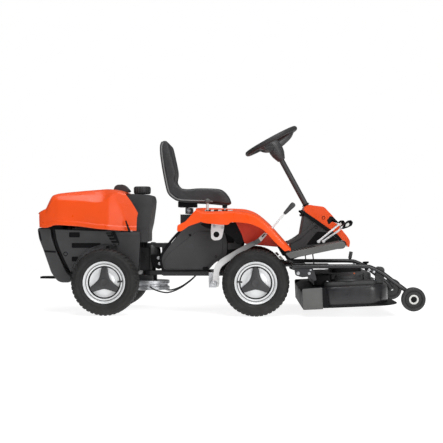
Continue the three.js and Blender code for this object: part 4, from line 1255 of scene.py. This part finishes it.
def make_lift_frame():
    """Two bent rails with their brackets, stop rods and axles, a cross tube and the plate between them."""
    pieces = []
    for _, side in SIDES:
        y = side * RAIL_Y
        path = [(376, RAIL_Z), (450, RAIL_Z), (620, RAIL_Z), (780, 281.5), (830, 270), (885, 241),
                (950, 192), (1008, 150), (1036, 120), (1048, 100)]
        line = smooth_line([mm(x, y, z) for x, z in path], 6)
        pieces.append(tube("rail", line, RAIL_RADIUS, STEEL_PAINT, 20))
        pieces.append(tube("arm", [mm(330, side * 150, RAIL_Z), mm(386, side * 150, RAIL_Z)], RAIL_RADIUS,
                           STEEL_PAINT, 20))
        pieces.append(tube("pin", [mm(330, side * 160, RAIL_Z), mm(330, side * 118, RAIL_Z)], 0.009, BARE,
                           20))
        pieces.append(tube("axle", [mm(1048, side * 388, 100), mm(1048, side * 452, 100)], 0.008, BARE, 20))
        bracket = rounded([(385, 276), (488, 276), (500, 250), (512, 206), (498, 200), (466, 224),
                           (430, 220), (392, 232)], 8)
        pieces.append(prism("bracket", bracket, y - 3, y + 3, STEEL_PAINT))
        outside = y + side * 3
        for x, z, size in ((408, 243, 7), (470, 243, 6), (478, 262, 4)):
            pieces.append(bolt("frame_bolt", mm(x, outside, z), (0, side, 0), size, BARE))
        for x, z in ((806, 264), (832, 252)):
            pieces.append(bolt("rail_bolt", mm(x, side * 408, z), (0, side, 0), 5, BARE))
        pieces.append(tube("stop_rod", [mm(489, y, 358), mm(497, y, 290)], 0.0035, BLACK, 12))
    pieces.append(tube("cross", [mm(385, -RAIL_Y, RAIL_Z), mm(385, RAIL_Y, RAIL_Z)], RAIL_RADIUS,
                       STEEL_PAINT, 20))
    plate = rounded([(398, -386), (600, -386), (600, -40), (398, -40)], 8)
    pieces.append(prism("link_plate", plate, 279, 285, STEEL_PAINT, "z"))
    settle(joined("lift_frame_tubes", pieces), "lift_frame", "lift_frame")


def make_support_wheels():
    profile = [(9, -15), (20, -16), (21, -18.5), (27, -18.5), (28, -16), (44, -12), (47, -15), (52, -21),
               (61, -23.5), (65.5, -20),
               (67, -13), (67, 13), (65.5, 20), (61, 23.5), (52, 21), (47, 15), (44, 12), (28, 16),
               (27, 18.5), (21, 18.5), (20, 16), (9, 15)]
    for word, side in SIDES:
        node = f"support_wheel_{word}"
        centre = centre_of(node)
        tread = lathe("tread", profile, centre, (0, 1, 0), RUBBER, 72)
        ring = lathe("ring", [(17.5, 18), (26.5, 18), (26.5, 20.5), (17.5, 20.5)], centre, (0, side, 0),
                     STRIPE, 48)
        cap = lathe("cap", [(0.1, 20.2), (9, 20.2), (13, 19), (13, 17), (0.1, 17)], centre, (0, side, 0),
                    BLACK, 40)
        settle(joined(node + "_tread", [tread, ring, cap]), node, node)


def make_latch():
    low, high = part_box("latch_handle")
    foot = Vector((0.780, (low.y + high.y) / 2, 0.302))
    tip = Vector((high.x - 0.008, foot.y, high.z - 0.001))
    line = [foot.lerp(tip, i / 24) for i in range(25)]
    grip = tube("grip", line, 0.0118, DARK, 24,
                lambda t: 1 - 0.4 * (t > 0.97) - 0.06 * (math.sin(t * 40) > 0.4))
    eye = lathe("eye", [(2, -11), (10, -11), (10, 11), (2, 11)], foot, (0, 1, 0), BLACK, 32)
    settle(joined("latch_grip", [grip, eye]), "latch_handle", "latch_handle")


DECK_TILT = math.radians(2.5)
DECK_CENTRE = mm(732, 0, 120)


def lean(obj):
    """Leans a deck piece back by the deck's tilt."""
    turn = Matrix.Translation(DECK_CENTRE) @ Matrix.Rotation(-DECK_TILT, 4,
                                                             "Y") @ Matrix.Translation(-DECK_CENTRE)
    obj.data.transform(turn)
    return obj


def deck_plan(rear, front, half, corner, steps=8):
    """The deck's outline from above: square at the back, broad rounded corners at the front."""
    return rounded([(rear, -half), (rear, half), (front - 64, half), (front, half - 96), (front, 96 - half),
                    (front - 64, -half)],
                   corner, steps)


def make_deck():
    plan = deck_plan(548, 921, 449, 70)
    middle = Vector((735, 0))
    rings = []
    for inset, z in ((0, 60), (0, 100), (0, 150), (1.5, 164), (6, 173), (14, 177.5), (30, 178)):
        ring = []
        for point in plan:
            pull = middle - point
            moved = point + Vector([math.copysign(min(inset, abs(reach)), reach) for reach in pull])
            ring.append(mm(*moved, z))
        rings.append(ring)
    skirt = grid("deck_skirt", rings, STEEL_PAINT, closed_rows=True)
    top = new_object("deck_top", rings[-1], [tuple(range(len(plan)))], STEEL_PAINT)
    skin = joined("deck_skin", [skirt, top])
    weld(skin)
    modify(skin, "SOLIDIFY", thickness=4 * MM, offset=-1.0)
    settle(lean(skin), "deck", "deck_shell")
    lip_out, lip_in = deck_plan(546, 971, 457, 60), deck_plan(551, 917, 445, 60)
    rows = [[mm(*p, z) for p in ring] for ring, z in ((lip_in, 60), (lip_out, 60), (lip_out, 66),
                                                      (lip_in, 76))]
    lip = bevelled(grid("deck_lip", rows, BLACK, closed_rows=True, closed_columns=True), 2 * MM)
    settle(lean(lip), "deck")
    make_deck_covers()
    make_deck_guard()


def raised(name, x, y, z, corner, finish):
    """A raised cover with rounded corners and a softened rim."""
    plan = rounded([(x[0], y[0]), (x[0], y[1]), (x[1], y[1]), (x[1], y[0])], corner, 6)
    middle = Vector(((x[0] + x[1]) / 2, (y[0] + y[1]) / 2))
    rings = []
    for size, level in ((0, z[0]), (1, z[1] - 9), (3, z[1] - 4), (8, z[1] - 1), (16, z[1])):
        rings.append([mm(*(p + Vector((math.copysign(size, middle.x - p.x),
                                       math.copysign(size, middle.y - p.y)))), level)
                      for p in plan])
    cover = grid(name, rings, finish, closed_rows=True, capped=True)
    return cover


def make_deck_covers():
    pieces = [raised("low", (562, 863), (-373, 373), (178.6, 200), 40, DARK),
              raised("high", (592, 838), (-298, 298), (198, 240), 44, DARK),
              raised("belt", (622, 798), (-148, 148), (238, 263.5), 30, BLACK),
              raised("bridge", (802, 893), (302, 343), (178.6, 192), 12, DARK)]
    for _, side in SIDES:
        pieces.append(lathe("dome", [(0.1, 0), (92, 0), (90, 10), (78, 16), (74, 30), (60, 36), (0.1, 37)],
                            mm(700, side * 285, 199), (0, 0, 1), DARK, 64))
        for x in (640, 690, 740, 790):
            pieces.append(prism("fin", rounded([(x, 200), (x + 5, 200), (x + 5, 232), (x, 238)], 1),
                                side * 299, side * 318, DARK))
    for x, y in ((580, 340), (580, -340), (845, 340), (845, -340), (700, 350), (700, -350)):
        pieces.append(bolt("cover_bolt", mm(x, y, 200), (0, 0, 1), 6, BARE))
    pieces.append(raised("drum", (505, 612), (-300, 300), (178.6, 240), 24, BLACK))
    post = lathe("post", [(0.1, -84), (9, -84), (9, -14), (15, -12), (19, -9), (20, -3), (17, 0), (0.1, 0)],
                 mm(880, 330, 274), (0, 0, 1), BLACK, 40)
    settle(lean(joined("deck_covers", [*pieces, post])), "deck", "deck_cover")
    post_near = rounded([(850, 178.5), (853, 262), (866, 274), (896, 270), (906, 256), (898, 178.5)], 8)
    settle(bevelled(lean(prism("deck_post", post_near, -352, -326, DARK)), 3 * MM), "deck")
    tag = prism("deck_tag", rounded([(728, 206), (736, 206), (744, 240), (734, 242)], 2), -304, -298.5, TAG)
    settle(lean(tag), "deck")


def make_deck_guard():
    refined("deck_guard", "deck", BLACK, 1.5, 2)
    plate = rounded([(430, 54), (430, 171), (543, 174), (543, 54)], 7)
    for word, side in SIDES:
        cover = prism(f"guard_plate_{word}", plate, side * 438, side * 443, GREY)
        settle(bevelled(lean(cover), 1.2 * MM, 3), "deck")
        corner = rounded([(543, 60), (543, 172), (560, 172), (574, 60)], 4)
        settle(bevelled(lean(prism(f"guard_seam_{word}", corner, side * 446, side * 450.5, BLACK)), 1 * MM),
               "deck")


# ---- Running gear -------------------------------------------------------------------------------


STEERING_CABLE = [(-452, 119, 152), (-430, 119, 136), (-385, 118, 120), (-340, 112, 116), (-280, 105, 138),
                  (-224, 96, 176), (-190, 90, 206)]


def make_running_gear():
    refined("main_frame", "chassis", STEEL_PAINT, 2.0)
    refined("front_axle", "chassis", STEEL_PAINT, 1.5)
    refined("rear_frame", "rear_unit", STEEL_PAINT, 2.0)
    refined("transaxle", "rear_unit", CAST, 3.0)
    refined("engine", "rear_unit", CAST, 3.0)
    refined("steering_drum", "rear_unit", BARE, 1.5)
    for word, side in SIDES:
        route = smooth_line([mm(x, side * y, z) for x, y, z in STEERING_CABLE], 6)
        settle(tube(f"cable_{word}", route, 0.0045, STEEL_PAINT, 12), "chassis", f"steering_cable_{word}")
    for word, side in (("right", -1), ("centre", 0), ("left", 1)):
        refined(f"blade_{word}", f"blade_{word}", BRUSHED, 0.8, 2)


make_camera()
make_studio()
make_road_wheels()
make_hood()
make_rear_covers()
make_seat()
make_fender()
make_panels()
make_chassis_fillers()
make_footplates()
make_console()
make_steering()
make_lift_lever()
make_hand_controls()
make_pedals()
make_lift_frame()
make_support_wheels()
make_latch()
make_deck()
make_running_gear()
